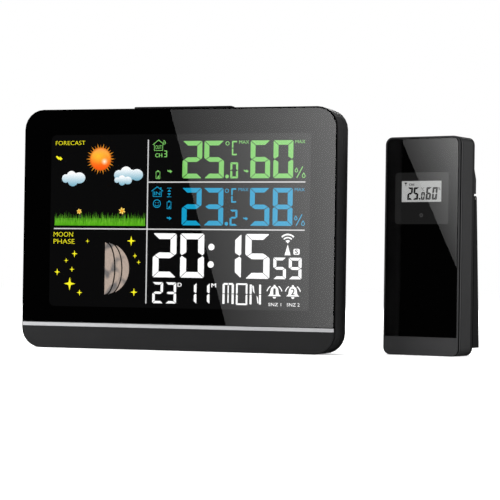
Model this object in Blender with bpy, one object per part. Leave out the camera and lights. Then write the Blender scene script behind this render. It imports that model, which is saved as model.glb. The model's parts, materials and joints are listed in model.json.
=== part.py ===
"""Home weather station: a colour display console and its wireless outdoor sensor.

Frame: +X to the right and +Z up as the console's user sees them, and the console faces -Y.
The origin is the middle of the face that the console stands on.
Every number is in millimetres; shapes are scaled to metres when their points are made.
"""

import math
from typing import NamedTuple

import bmesh
import bpy
from mathutils import Vector

MM = 0.001
GAP = 0.3  # clearance between separate pieces
CORNER_STEPS = 6  # straight edges in a rounded corner
ROUND = 20  # sides of a turned piece

# Console, driving dimensions
CONSOLE_WIDTH = 178.0
CONSOLE_HEIGHT = 130.0
CONSOLE_DEPTH = 22.0
CONSOLE_CORNER = 11.0
CONSOLE_WALL = 2.0
PLATE_INSET = 0.5  # the front plate stands in from the case's side by this much
RIM = 0.3  # the case's thin rim round the front plate
CHIN_HEIGHT = 11.75
TRIM_HEIGHT = 1.9
WINDOW_MARGIN = (16.2, 14.3, 22.7, 13.9)  # case edge to the lit window: left, right, bottom, top
SNOOZE_WIDTH = 55.5
SNOOZE_MIDDLE = 1.25
SNOOZE_PROUD = 1.2

# Sensor, driving dimensions
SENSOR_WIDTH = 44.1
SENSOR_HEIGHT = 115.7
SENSOR_DEPTH = 18.0
SENSOR_CORNER = 4.0
SENSOR_WALL = 1.6
SENSOR_PLACE = (128.0, 16.9)  # middle of its front bottom edge
SENSOR_TURN = -14.1  # degrees about +Z
WEDGE_TOP_DEPTH = 3.0  # the folded stand, behind the sensor's back
WEDGE_FOOT_DEPTH = 7.9
WEDGE_FOOT_HEIGHT = 4.2
HANGER_DEPTH = 1.9  # the block above the stand

# Cells, size AAA
CELL_RADIUS = 5.15
CELL_LENGTH = 44.5
CELL_NUB_RADIUS = 1.9
CELL_NUB = 0.8
CELL_PITCH = 11.5
SPRING_LENGTH = 2.8

# Screws
SCREW_HEAD_RADIUS = 2.5
SCREW_HEAD = 1.6
SCREW_RADIUS = 1.1
BOSS_RADIUS = 3.3

# Console stack, positions along Y from the front
FRONT = -CONSOLE_DEPTH / 2
BACK = CONSOLE_DEPTH / 2
LENS_BACK = FRONT + 1.5
CASE_FACE = LENS_BACK + GAP
CASE_FACE_BACK = CASE_FACE + 1.4
SEAM = 1.5
LCD_FRONT = CASE_FACE_BACK + GAP
LCD_BACK = LCD_FRONT + 1.8
GUIDE_FRONT = LCD_BACK + GAP
GUIDE_BACK = GUIDE_FRONT + 1.8
BOARD_FRONT = GUIDE_BACK + GAP
BOARD_BACK = BOARD_FRONT + 1.6
REAR_WALL = BACK - 1.8
CELL_Y = REAR_WALL - 0.2 - CELL_RADIUS

# Sensor stack, positions along its own Y from its front
S_LENS_FRONT = 0.15
S_LENS_BACK = 1.35
S_FACE = S_LENS_BACK + GAP
S_FACE_BACK = 2.9
S_GROOVE = (0.5, 1.5)  # the dark channel round the front shell's side
S_BODY = 3.3
S_LCD_FRONT = S_FACE_BACK + GAP
S_BOARD_FRONT = 9.5
S_BOARD_BACK = 10.9
S_REAR_WALL = SENSOR_DEPTH - SENSOR_WALL
S_CELL_Y = S_REAR_WALL - GAP - CELL_RADIUS


class Rect(NamedTuple):
    """A rectangle in the XZ plane, with one radius for its lower corners and one for its upper."""

    left: float
    right: float
    bottom: float
    top: float
    low: float = 0.0
    high: float = 0.0

    def inset(self, distance):
        low = max(self.low - distance, 0.4) if self.low else 0.0
        high = max(self.high - distance, 0.4) if self.high else 0.0
        return Rect(
            self.left + distance,
            self.right - distance,
            self.bottom + distance,
            self.top - distance,
            low,
            high,
        )


def centred_rect(x, z, width, height, radius=0.0):
    return Rect(x - width / 2, x + width / 2, z - height / 2, z + height / 2, radius, radius)


def rect_outline(rect):
    """(x, z) points of a rectangle, counterclockwise as seen from the front."""
    corners = (
        (rect.right, rect.bottom, -1, 1, rect.low, -90),
        (rect.right, rect.top, -1, -1, rect.high, 0),
        (rect.left, rect.top, 1, -1, rect.high, 90),
        (rect.left, rect.bottom, 1, 1, rect.low, 180),
    )
    points = []
    for x, z, toward_x, toward_z, radius, start in corners:
        steps = CORNER_STEPS if radius else 0
        for k in range(steps + 1):
            angle = math.radians(start + 90 * k / max(steps, 1))
            points.append(
                (
                    x + radius * (toward_x + math.cos(angle)),
                    z + radius * (toward_z + math.sin(angle)),
                )
            )
    return points


def rect_loop(rect, y):
    return [(x, y, z) for x, z in rect_outline(rect)]


def edge_loops(rect, face, inward, radius, steps=3):
    """Loops that round the edge between a rectangle's side and its flat face at y = face."""
    loops = []
    for k in range(steps + 1):
        angle = math.pi / 2 * k / steps
        loops.append(
            rect_loop(
                rect.inset(radius * (1 - math.cos(angle))),
                face + inward * radius * (1 - math.sin(angle)),
            )
        )
    return loops


def circle_loop(axis, centre, radius, along, sides=ROUND):
    """Points of a circle about an axis; centre holds the two coordinates that the axis leaves."""
    loop = []
    for k in range(sides):
        angle = 2 * math.pi * k / sides
        a = centre[0] + radius * math.cos(angle)
        b = centre[1] + radius * math.sin(angle)
        loop.append({"X": (along, a, b), "Y": (a, along, b), "Z": (a, b, along)}[axis])
    return loop


class Solid:
    """Closed shapes gathered in one mesh."""

    def __init__(self):
        self.bm = bmesh.new()

    def loft(self, loops, ring=False):
        rows = [[self.bm.verts.new(Vector(p) * MM) for p in loop] for loop in loops]
        pairs = list(zip(rows, rows[1:]))
        if ring:
            pairs.append((rows[-1], rows[0]))
        else:
            self.bm.faces.new(rows[0])
            self.bm.faces.new(rows[-1])
        for near, far in pairs:
            for i in range(len(near)):
                j = (i + 1) % len(near)
                self.bm.faces.new((near[i], near[j], far[j], far[i]))
        return self

    def plate(self, rect, y0, y1):
        return self.loft([rect_loop(rect, y0), rect_loop(rect, y1)])

    def box(self, x0, x1, y0, y1, z0, z1):
        return self.plate(Rect(x0, x1, z0, z1), y0, y1)

    def turned(self, axis, centre, profile, sides=ROUND):
        """profile is (radius, place along the axis), from one end cap to the other."""
        return self.loft([circle_loop(axis, centre, r, along, sides) for r, along in profile])

    def tube(self, axis, centre, profile, sides=ROUND):
        loops = [circle_loop(axis, centre, r, along, sides) for r, along in profile]
        return self.loft(loops, ring=True)

    def profile_x(self, outline, x0, x1):
        """An outline of (y, z) points, carried along X."""
        return self.loft([[(x, y, z) for y, z in outline] for x in (x0, x1)])

    def mesh(self, name, origin=(0, 0, 0)):
        bmesh.ops.recalc_face_normals(self.bm, faces=self.bm.faces)
        bmesh.ops.translate(self.bm, vec=-Vector(origin) * MM, verts=self.bm.verts)
        mesh = bpy.data.meshes.new(name)
        self.bm.to_mesh(mesh)
        self.bm.free()
        return mesh


def material(name, colour, roughness, metallic=0.0):
    found = bpy.data.materials.get(name)
    if found:
        return found
    made = bpy.data.materials.new(name)
    made.use_nodes = True
    shader = made.node_tree.nodes["Principled BSDF"]
    shader.inputs["Base Color"].default_value = (*colour, 1)
    shader.inputs["Roughness"].default_value = roughness
    shader.inputs["Metallic"].default_value = metallic
    return made


FINISHES = {
    "gloss_black": ((0.006, 0.006, 0.007), 0.06),
    "case_black": ((0.02, 0.02, 0.021), 0.45),
    "sensor_grey": ((0.045, 0.045, 0.047), 0.45),
    "silver": ((0.62, 0.62, 0.63), 0.3, 1.0),
    "steel": ((0.55, 0.55, 0.56), 0.35, 1.0),
    "copper": ((0.72, 0.38, 0.2), 0.4, 1.0),
    "glass_dark": ((0.01, 0.011, 0.014), 0.1),
    "lcd_grey": ((0.5, 0.52, 0.5), 0.3),
    "acrylic_white": ((0.85, 0.85, 0.85), 0.3),
    "board_green": ((0.02, 0.16, 0.06), 0.5),
    "rubber_black": ((0.02, 0.02, 0.02), 0.8),
    "part_black": ((0.03, 0.03, 0.03), 0.5),
    "cell_wrap": ((0.1, 0.2, 0.32), 0.35),
    "ferrite": ((0.06, 0.06, 0.065), 0.6),
}


def piece(name, solid, finish, parent=None, origin=(0, 0, 0)):
    """One sub-part; origin is the point of its joint's axis that it turns or slides about."""
    made = bpy.data.objects.new(name, solid.mesh(name, origin))
    bpy.context.scene.collection.objects.link(made)
    made.data.materials.append(material(finish, *FINISHES[finish]))
    made.data.shade_smooth()
    made.data.set_sharp_from_angle(angle=math.radians(35))
    made.location = Vector(origin) * MM
    made.parent = parent
    return made


def combine(target, operation, solid):
    """Joins a solid to a piece, or cuts it away, with a Boolean that stays on the piece."""
    name = f"{target.name}_{operation.lower()}"
    tool = bpy.data.objects.new(name, solid.mesh(name))
    bpy.context.scene.collection.objects.link(tool)
    tool.parent = target.parent
    tool.hide_render = True
    tool.display_type = "WIRE"
    boolean = target.modifiers.new(operation.lower(), "BOOLEAN")
    boolean.operation = operation
    boolean.solver = "EXACT"
    boolean.object = tool


# Shapes that both units use


def cell(name, axis, centre, low, nub_high, parent=None):
    """A cell that starts at low along its axis, with its nub at the far end or at the near one."""
    high = low + CELL_LENGTH
    if nub_high:
        profile = [
            (CELL_RADIUS - 0.5, low),
            (CELL_RADIUS, low + 0.5),
            (CELL_RADIUS, high - CELL_NUB - 0.5),
            (CELL_RADIUS - 0.5, high - CELL_NUB),
            (CELL_NUB_RADIUS, high - CELL_NUB),
            (CELL_NUB_RADIUS, high),
        ]
    else:
        profile = [
            (CELL_NUB_RADIUS, low),
            (CELL_NUB_RADIUS, low + CELL_NUB),
            (CELL_RADIUS - 0.5, low + CELL_NUB),
            (CELL_RADIUS, low + CELL_NUB + 0.5),
            (CELL_RADIUS, high - 0.5),
            (CELL_RADIUS - 0.5, high),
        ]
    return piece(name, Solid().turned(axis, centre, profile), "cell_wrap", parent)


def spring(name, axis, centre, base, tip, parent=None):
    """A conical contact spring, wound from its wide base to its narrow tip."""
    turns, per_turn, wire = 2.5, 10, 0.35
    wide, narrow, sides = 3.6, 1.7, 6
    direction = 1 if tip > base else -1
    count = int(turns * per_turn) + 1
    loops = []
    for i in range(count):
        share = i / (count - 1)
        angle = 2 * math.pi * turns * share
        radius = wide + (narrow - wide) * share
        along = base + direction * (wire + (abs(tip - base) - 2 * wire) * share)
        loop = []
        for k in range(sides):
            turn = 2 * math.pi * k / sides
            reach = radius + wire * math.cos(turn)
            a = centre[0] + reach * math.cos(angle)
            b = centre[1] + reach * math.sin(angle)
            c = along + wire * math.sin(turn)
            loop.append({"X": (c, a, b), "Z": (a, b, c)}[axis])
        loops.append(loop)
    return piece(name, Solid().loft(loops), "steel", parent)


def screw(name, x, z, head_top, tip, parent=None):
    """A case screw put in from the back, with a cross recess left to the finish."""
    seat = head_top - SCREW_HEAD
    profile = [
        (0.3, tip),
        (SCREW_RADIUS, tip + 1.2),
        (SCREW_RADIUS, seat),
        (SCREW_HEAD_RADIUS, seat),
        (SCREW_HEAD_RADIUS, head_top - 0.4),
        (SCREW_HEAD_RADIUS - 0.5, head_top),
    ]
    return piece(name, Solid().turned("Y", (x, z), profile, 12), "steel", parent)


def keyhole(solid, x, z, head, neck, rise, y0, y1):
    """A hanging slot: a round head with a narrower slot above it, wide enough for a screw's neck."""
    meet = math.asin(neck / head)
    outline = []
    for k in range(13):
        angle = math.pi / 2 + meet + (2 * math.pi - 2 * meet) * k / 12
        outline.append((x + head * math.cos(angle), z + head * math.sin(angle)))
    for k in range(7):
        angle = math.pi * k / 6
        outline.append((x + neck * math.cos(angle), z + rise + neck * math.sin(angle)))
    solid.loft([[(a, y, b) for a, b in outline] for y in (y0, y1)])


# Console

CASE = Rect(
    -CONSOLE_WIDTH / 2, CONSOLE_WIDTH / 2, 0, CONSOLE_HEIGHT, CONSOLE_CORNER, CONSOLE_CORNER
)
WINDOW = Rect(
    CASE.left + WINDOW_MARGIN[0] - 1.5,
    CASE.right - WINDOW_MARGIN[1] + 1.5,
    WINDOW_MARGIN[2] - 1.5,
    CASE.top - WINDOW_MARGIN[3] + 1.5,
    3.0,
    3.0,
)
PLATE = CASE.inset(PLATE_INSET)
GLASS = Rect(WINDOW.left - 2, WINDOW.right + 2, WINDOW.bottom - 3, WINDOW.top + 1.5)
SCREW_SPOTS = [(x, z) for z in (20.0, 108.0) for x in (-82.0, 83.0)]

SNOOZE_Y = (-7.1, -0.5)
SNOOZE = (SNOOZE_MIDDLE - SNOOZE_WIDTH / 2, SNOOZE_MIDDLE + SNOOZE_WIDTH / 2)

STAND = Rect(-20.0, 20.0, 5.0, 53.0)
STAND_AXIS = (9.3, 53.0)  # y, z
STAND_KNUCKLE = 1.65
STAND_PIN = 0.9
RECESS = Rect(STAND.left - 0.5, STAND.right + 0.5, STAND.bottom - 0.6, 55.1)
RECESS_FLOOR = 8.5

POCKET = Rect(27.2, 76.8, 14.4, 49.6)
POCKET_FLOOR = CELL_Y - CELL_RADIUS - 0.2
CELL_SPOTS = [POCKET.bottom + 17.6 + k * CELL_PITCH for k in (-1, 0, 1)]

JACK = (-60.0, 20.0)
BUTTON_X = -73.5
BUTTON_NAMES = ("set", "up", "down", "alarm", "channel")
BUTTON_SPOTS = [96.0 - 13.0 * k for k in range(len(BUTTON_NAMES))]
BUTTON_SIZE = (9.0, 5.2)
BUTTON_PROUD = 0.8
VENT_X = (-52.0, 3.4, 6)  # first slot, pitch, count
VENT_Z = (62.0, 72.0)
KEYHOLE_SPOTS = ((-38.0, 96.0), (38.0, 96.0))


def slot_rows(solid, first, pitch, count, width, z0, z1, y0, y1):
    for k in range(count):
        x = first + pitch * k
        solid.plate(Rect(x - width / 2, x + width / 2, z0, z1, 0.7, 0.7), y0, y1)


def console_front():
    """The front case with its window, and the lens and trim strip that it carries."""
    inner = CASE.inset(CONSOLE_WALL)
    case = Solid().loft(
        [
            rect_loop(WINDOW, CASE_FACE),
            rect_loop(CASE.inset(RIM), CASE_FACE),
            rect_loop(CASE.inset(RIM), FRONT + 0.1),
            rect_loop(CASE.inset(0.12), FRONT + 0.1),
            rect_loop(CASE, FRONT + 0.25),
            rect_loop(CASE, SEAM - GAP / 2),
            rect_loop(inner, SEAM - GAP / 2),
            rect_loop(inner, CASE_FACE_BACK),
            rect_loop(WINDOW, CASE_FACE_BACK),
        ],
        ring=True,
    )
    front_case = piece("console_front_case", case, "case_black")
    additions = Solid()
    chin = Rect(PLATE.left, PLATE.right, PLATE.bottom, CHIN_HEIGHT, PLATE.low)
    additions.plate(chin, FRONT + 0.1, CASE_FACE + 0.7)
    for x, z in SCREW_SPOTS:
        profile = [
            (BOSS_RADIUS, CASE_FACE_BACK - 0.7),
            (BOSS_RADIUS, SEAM - 0.5),
            (SCREW_RADIUS + GAP, SEAM - 0.5),
            (SCREW_RADIUS + GAP, CASE_FACE_BACK + 0.5),
        ]
        additions.turned("Y", (x, z), profile, 12)
    combine(front_case, "UNION", additions)
    slot = Solid()
    slot.box(SNOOZE[0] - GAP, SNOOZE[1] + GAP, *SNOOZE_Y, CASE.top - 4, CASE.top + 1)
    combine(front_case, "DIFFERENCE", slot)

    trim_bottom = CHIN_HEIGHT + 0.15
    trim = Rect(PLATE.left, PLATE.right, trim_bottom, trim_bottom + TRIM_HEIGHT)
    piece("console_trim_strip", Solid().plate(trim, FRONT + 0.05, CASE_FACE - GAP), "silver")
    lens = Rect(PLATE.left, PLATE.right, trim.top + 0.15, PLATE.top, 0, PLATE.high)
    glass = Solid().loft(
        [
            rect_loop(lens, LENS_BACK),
            rect_loop(lens, FRONT + 0.3),
            rect_loop(lens.inset(0.3), FRONT),
        ]
    )
    piece("console_lens", glass, "gloss_black")


def console_display():
    """The liquid crystal panel, its light guide, the boards behind it and what sits on them."""
    piece("console_lcd_panel", Solid().plate(GLASS, LCD_FRONT, LCD_BACK), "glass_dark")
    guide = GLASS.inset(2.0)
    guide = guide._replace(bottom=guide.bottom + 4)
    piece("console_light_guide", Solid().plate(guide, GUIDE_FRONT, GUIDE_BACK), "acrylic_white")
    board = Rect(GLASS.left + 6, GLASS.right - 6, 58.0, GLASS.top)
    piece("console_main_board", Solid().plate(board, BOARD_FRONT, BOARD_BACK), "board_green")
    strip = Rect(GLASS.left + 8, GLASS.right - 8, GLASS.bottom + 0.5, guide.bottom - GAP)
    piece("lcd_connector_strip", Solid().plate(strip, GUIDE_FRONT, GUIDE_BACK), "rubber_black")

    receiver = Rect(20.0, 42.0, 70.0, 84.0)
    piece(
        "radio_receiver", Solid().plate(receiver, BOARD_BACK + GAP, BOARD_BACK + 3.2), "board_green"
    )
    profile = [(6.0, BOARD_BACK + GAP), (6.0, 5.6), (1.2, 5.6), (1.2, 4.0)]
    piece("alarm_buzzer", Solid().turned("Y", (-14.0, 76.0), profile), "part_black")
    probe = centred_rect(VENT_X[0] + 2.5 * VENT_X[1], 67.0, 5.0, 5.0)
    piece("climate_probe", Solid().plate(probe, BOARD_BACK + GAP, 4.0), "acrylic_white")

    rod_y, rod_z = 3.4, 118.5
    rod = [(2.5, -72.0), (2.5, -22.0)]
    piece("clock_antenna_rod", Solid().turned("X", (rod_y, rod_z), rod, 12), "ferrite")
    coil = [(3.6, -55.0), (3.6, -38.0), (2.5 + GAP, -38.0), (2.5 + GAP, -55.0)]
    piece("clock_antenna_coil", Solid().tube("X", (rod_y, rod_z), coil, 12), "copper")
    switch = Solid().box(SNOOZE_MIDDLE - 3, SNOOZE_MIDDLE + 3, -6.8, -0.8, 121.8, 125.0)
    piece("snooze_switch", switch, "part_black")


def console_rear():
    """The rear cover with its cell pocket, stand recess and screw posts, and the screws."""
    inner = CASE.inset(CONSOLE_WALL)
    shell = Solid().loft(
        [
            rect_loop(inner.inset(1.0), REAR_WALL),
            rect_loop(inner, REAR_WALL - 1.0),
            rect_loop(inner, SEAM + GAP / 2),
            rect_loop(CASE, SEAM + GAP / 2),
            *edge_loops(CASE, BACK, -1, 0.8, 2),
        ]
    )
    cover = piece("console_rear_cover", shell, "case_black")
    additions = Solid()
    additions.plate(POCKET.inset(-1.2), POCKET_FLOOR - 1.2, REAR_WALL + 0.7)
    additions.plate(RECESS.inset(-2.0), RECESS_FLOOR - 2.8, REAR_WALL + 0.7)
    for x, z in SCREW_SPOTS:
        additions.turned(
            "Y", (x, z), [(BOSS_RADIUS, SEAM + 0.4), (BOSS_RADIUS, REAR_WALL + 0.7)], 12
        )
    combine(cover, "UNION", additions)

    cuts = Solid()
    cuts.plate(POCKET, POCKET_FLOOR, BACK + 1)
    cuts.plate(RECESS, RECESS_FLOOR, BACK + 1)
    for x, z in SCREW_SPOTS:
        profile = [
            (SCREW_RADIUS + GAP, SEAM - 1),
            (SCREW_RADIUS + GAP, BACK - 2.6),
            (SCREW_HEAD_RADIUS + GAP, BACK - 2.6),
            (SCREW_HEAD_RADIUS + GAP, BACK + 1),
        ]
        cuts.turned("Y", (x, z), profile, 12)
    for z in BUTTON_SPOTS:
        cuts.plate(centred_rect(BUTTON_X, z, *BUTTON_SIZE, 2.0).inset(-GAP), 7.0, BACK + 1)
    cuts.turned("Y", JACK, [(3.6, 7.0), (3.6, BACK + 1)])
    slot_rows(cuts, *VENT_X, 1.6, *VENT_Z, 7.0, BACK + 1)
    for x, z in KEYHOLE_SPOTS:
        keyhole(cuts, x, z, 4.0, 2.1, 7.0, 7.0, BACK + 1)
    combine(cover, "DIFFERENCE", cuts)
    reach = STAND_KNUCKLE + 0.4
    pivot_y, pivot_z = STAND_AXIS
    groove = Solid()
    groove.box(RECESS.left, RECESS.right, pivot_y - reach, BACK, pivot_z - reach, RECESS.top)
    combine(cover, "DIFFERENCE", groove)

    for number, (x, z) in enumerate(SCREW_SPOTS, 1):
        screw(f"case_screw_{number}", x, z, BACK - 0.6, -4.0)


def console_power():
    """The mains-adapter socket, the cells with their contacts, and the door over them."""
    profile = [
        (4.3, -0.6),
        (4.3, REAR_WALL - GAP),
        (3.3, REAR_WALL - GAP),
        (3.3, BACK - 0.2),
        (2.8, BACK - 0.2),
        (2.8, 2.0),
        (0.8, 2.0),
        (0.8, BACK - 1.5),
    ]
    piece("dc_jack", Solid().turned("Y", JACK, profile), "part_black")

    left = POCKET.left + GAP
    right = POCKET.right - GAP
    contact = (POCKET_FLOOR + 0.6, REAR_WALL - 0.6, POCKET.bottom + 0.6, POCKET.top - 0.6)
    piece("cell_contact_left", Solid().box(left, left + 0.4, *contact), "steel")
    piece("cell_contact_right", Solid().box(right - 0.4, right, *contact), "steel")
    for number, z in enumerate(CELL_SPOTS, 1):
        nub_high = number != 2
        if nub_high:
            base, start = left + 0.4 + GAP, left + 0.4 + 2 * GAP + SPRING_LENGTH
            tip = base + SPRING_LENGTH
        else:
            base, start = right - 0.4 - GAP, left + 0.4 + GAP
            tip = base - SPRING_LENGTH
        cell(f"cell_{number}", "X", (CELL_Y, z), start, nub_high)
        spring(f"cell_spring_{number}", "X", (CELL_Y, z), base, tip)

    door = POCKET.inset(GAP)
    hinge = (0, BACK - 0.05, door.bottom)
    plate = Solid().plate(door, REAR_WALL + 0.1, BACK - 0.05)
    piece("console_battery_door", plate, "case_black", origin=hinge)


def console_controls():
    """The snooze bar, the rear buttons with their board, and the fold-out stand."""
    y0, y1 = SNOOZE_Y[0] + GAP, SNOOZE_Y[1] - GAP
    under = CASE.top - CONSOLE_WALL - GAP

    def bar_loop(grow, z):
        ends = 0.5
        left, right = SNOOZE[0] - grow, SNOOZE[1] + grow
        near, far = y0 - grow, y1 + grow
        return [
            (left + ends, near, z), (right - ends, near, z),
            (right, near + ends, z), (right, far - ends, z),
            (right - ends, far, z), (left + ends, far, z),
            (left, far - ends, z), (left, near + ends, z),
        ]

    top = CASE.top + SNOOZE_PROUD
    bar = Solid().loft(
        [
            bar_loop(0.5, under - 1.0),
            bar_loop(0.5, under),
            bar_loop(0, under),
            bar_loop(0, top - 0.15),
            bar_loop(-0.15, top),
        ]
    )
    piece("snooze_bar", bar, "case_black", origin=(SNOOZE_MIDDLE, (y0 + y1) / 2, top))

    for name, z in zip(BUTTON_NAMES, BUTTON_SPOTS):
        cap = centred_rect(BUTTON_X, z, *BUTTON_SIZE, 2.0)
        flange = cap.inset(-0.9)
        face = REAR_WALL - GAP
        button = Solid().loft(
            [
                rect_loop(flange, face - 1.0),
                rect_loop(flange, face),
                rect_loop(cap, face),
                rect_loop(cap, BACK + BUTTON_PROUD - 0.3),
                rect_loop(cap.inset(0.3), BACK + BUTTON_PROUD),
            ]
        )
        piece(f"{name}_button", button, "case_black", origin=(BUTTON_X, BACK, z))
    column = Rect(BUTTON_X - 6, BUTTON_X + 6, BUTTON_SPOTS[-1] - 7, BUTTON_SPOTS[0] + 6)
    piece("button_board", Solid().plate(column, 4.6, 6.2), "board_green")

    pivot_y, pivot_z = STAND_AXIS
    outline = [(BACK - 0.1, STAND.bottom), (BACK - 0.1, pivot_z)]
    for k in range(1, 9):
        angle = math.pi * 1.1 * k / 8
        outline.append(
            (pivot_y + STAND_KNUCKLE * math.cos(angle), pivot_z + STAND_KNUCKLE * math.sin(angle))
        )
    plate_front = RECESS_FLOOR + 0.4
    outline += [(plate_front, pivot_z - 2.2), (plate_front, STAND.bottom)]
    stand = piece(
        "kickstand",
        Solid().profile_x(outline, STAND.left, STAND.right),
        "case_black",
        origin=(0, pivot_y, pivot_z),
    )
    hollow = Solid()
    hollow.turned(
        "X", STAND_AXIS,
        [(STAND_PIN + 0.25, STAND.left - 1), (STAND_PIN + 0.25, STAND.right + 1)], 12,
    )
    finger = Rect(-9.0, 9.0, STAND.bottom + 10, STAND.bottom + 23, 3.0, 3.0)
    hollow.plate(finger, RECESS_FLOOR, BACK + 1)
    combine(stand, "DIFFERENCE", hollow)
    pin = [(STAND_PIN, RECESS.left + 0.1), (STAND_PIN, RECESS.right - 0.1)]
    piece("kickstand_pin", Solid().turned("X", STAND_AXIS, pin, 12), "steel")


# Sensor, in its own frame: its front bottom edge's middle at the origin, +Y to its back

BODY = Rect(
    -SENSOR_WIDTH / 2, SENSOR_WIDTH / 2, 0, SENSOR_HEIGHT, SENSOR_CORNER, SENSOR_CORNER
)
S_PLATE = BODY.inset(0.8)
S_WINDOW = Rect(-12.0, 12.0, 80.0, 93.0)
S_CHIN = 9.75
LED_SPOT = (0.0, 74.05)
S_POCKET = Rect(-12.2, 12.2, 9.0, 60.6)
S_POCKET_FLOOR = S_CELL_Y - CELL_RADIUS - 0.2
S_CELL_X = 5.9
S_DOOR = Rect(-14.6, 14.6, 6.2, 63.0, 1.0, 1.0)
FLAP_X = SENSOR_WIDTH / 2 - 0.1
FLAP_ROUND = 1.4
FLAP_AXIS = (SENSOR_DEPTH + WEDGE_TOP_DEPTH - FLAP_ROUND, 83.5)
FLAP_WALL = 1.0
FLAP_PIN = 0.7
EAR_X = (13.6, 17.2)
SWITCH_SPOT = (-7.0, 70.0)
TRANSMIT_SPOT = (7.0, 70.0)
S_SCREW_SPOTS = ((-16.4, 107.0), (16.4, 107.0))


def wedge_outline():
    """(y, z) outline of the folded stand seen from its side."""
    pivot_y, pivot_z = FLAP_AXIS
    points = [
        (SENSOR_DEPTH + GAP, WEDGE_FOOT_HEIGHT),
        (SENSOR_DEPTH + WEDGE_FOOT_DEPTH, WEDGE_FOOT_HEIGHT),
    ]
    for k in range(9):
        angle = math.pi * k / 8
        points.append(
            (
                pivot_y + FLAP_ROUND * math.cos(angle),
                pivot_z + FLAP_ROUND * math.sin(angle),
            )
        )
    return points


def sensor_front(parent):
    shell = Solid().loft(
        [
            rect_loop(BODY.inset(0.5), S_LENS_FRONT),
            rect_loop(BODY.inset(0.4), 0.0),
            rect_loop(BODY.inset(0.2), 0.0),
            rect_loop(BODY, 0.15),
            rect_loop(BODY, S_GROOVE[0]),
            rect_loop(BODY.inset(0.4), S_GROOVE[0]),
            rect_loop(BODY.inset(0.4), S_GROOVE[1]),
            rect_loop(BODY, S_GROOVE[1]),
            rect_loop(BODY, S_BODY - GAP),
            rect_loop(BODY.inset(SENSOR_WALL + 0.5), S_BODY - GAP),
            rect_loop(BODY.inset(SENSOR_WALL + 0.5), S_FACE_BACK - 0.1),
        ]
    )
    front = piece("sensor_front_shell", shell, "sensor_grey", parent)
    cuts = Solid()
    lens_seat = S_PLATE._replace(bottom=S_CHIN, low=0)
    cuts.plate(lens_seat, -1.0, S_FACE)
    combine(front, "DIFFERENCE", cuts)
    openings = Solid().plate(S_WINDOW, 1.0, 5.0)
    openings.turned("Y", LED_SPOT, [(1.3, 1.0), (1.3, 5.0)], 12)
    combine(front, "DIFFERENCE", openings)

    lens = lens_seat.inset(0.15)
    glass = Solid().loft(
        [
            rect_loop(lens, S_LENS_BACK),
            rect_loop(lens, S_LENS_FRONT + 0.2),
            rect_loop(lens.inset(0.2), S_LENS_FRONT),
        ]
    )
    piece("sensor_lens", glass, "gloss_black", parent)


def sensor_inside(parent):
    display = Solid().plate(S_WINDOW.inset(-2.0), S_LCD_FRONT, S_LCD_FRONT + 1.8)
    piece("sensor_lcd_panel", display, "lcd_grey", parent)
    pipe = [(1.0, S_FACE), (1.0, S_BOARD_FRONT - GAP)]
    piece("sensor_light_pipe", Solid().turned("Y", LED_SPOT, pipe, 12), "acrylic_white", parent)
    board = Rect(-13.2, 17.8, 64.0, 103.0)
    piece(
        "sensor_board", Solid().plate(board, S_BOARD_FRONT, S_BOARD_BACK), "board_green", parent
    )
    wire = [(0.5, 66.0), (0.5, 102.0)]
    antenna = Solid().turned("Z", (-18.6, 10.2), wire, 8)
    piece("sensor_antenna", antenna, "copper", parent)
    probe = Solid().box(-3.0, 3.0, 8.0, 12.0, 2.6, 6.6)
    piece("sensor_climate_probe", probe, "acrylic_white", parent)


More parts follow.
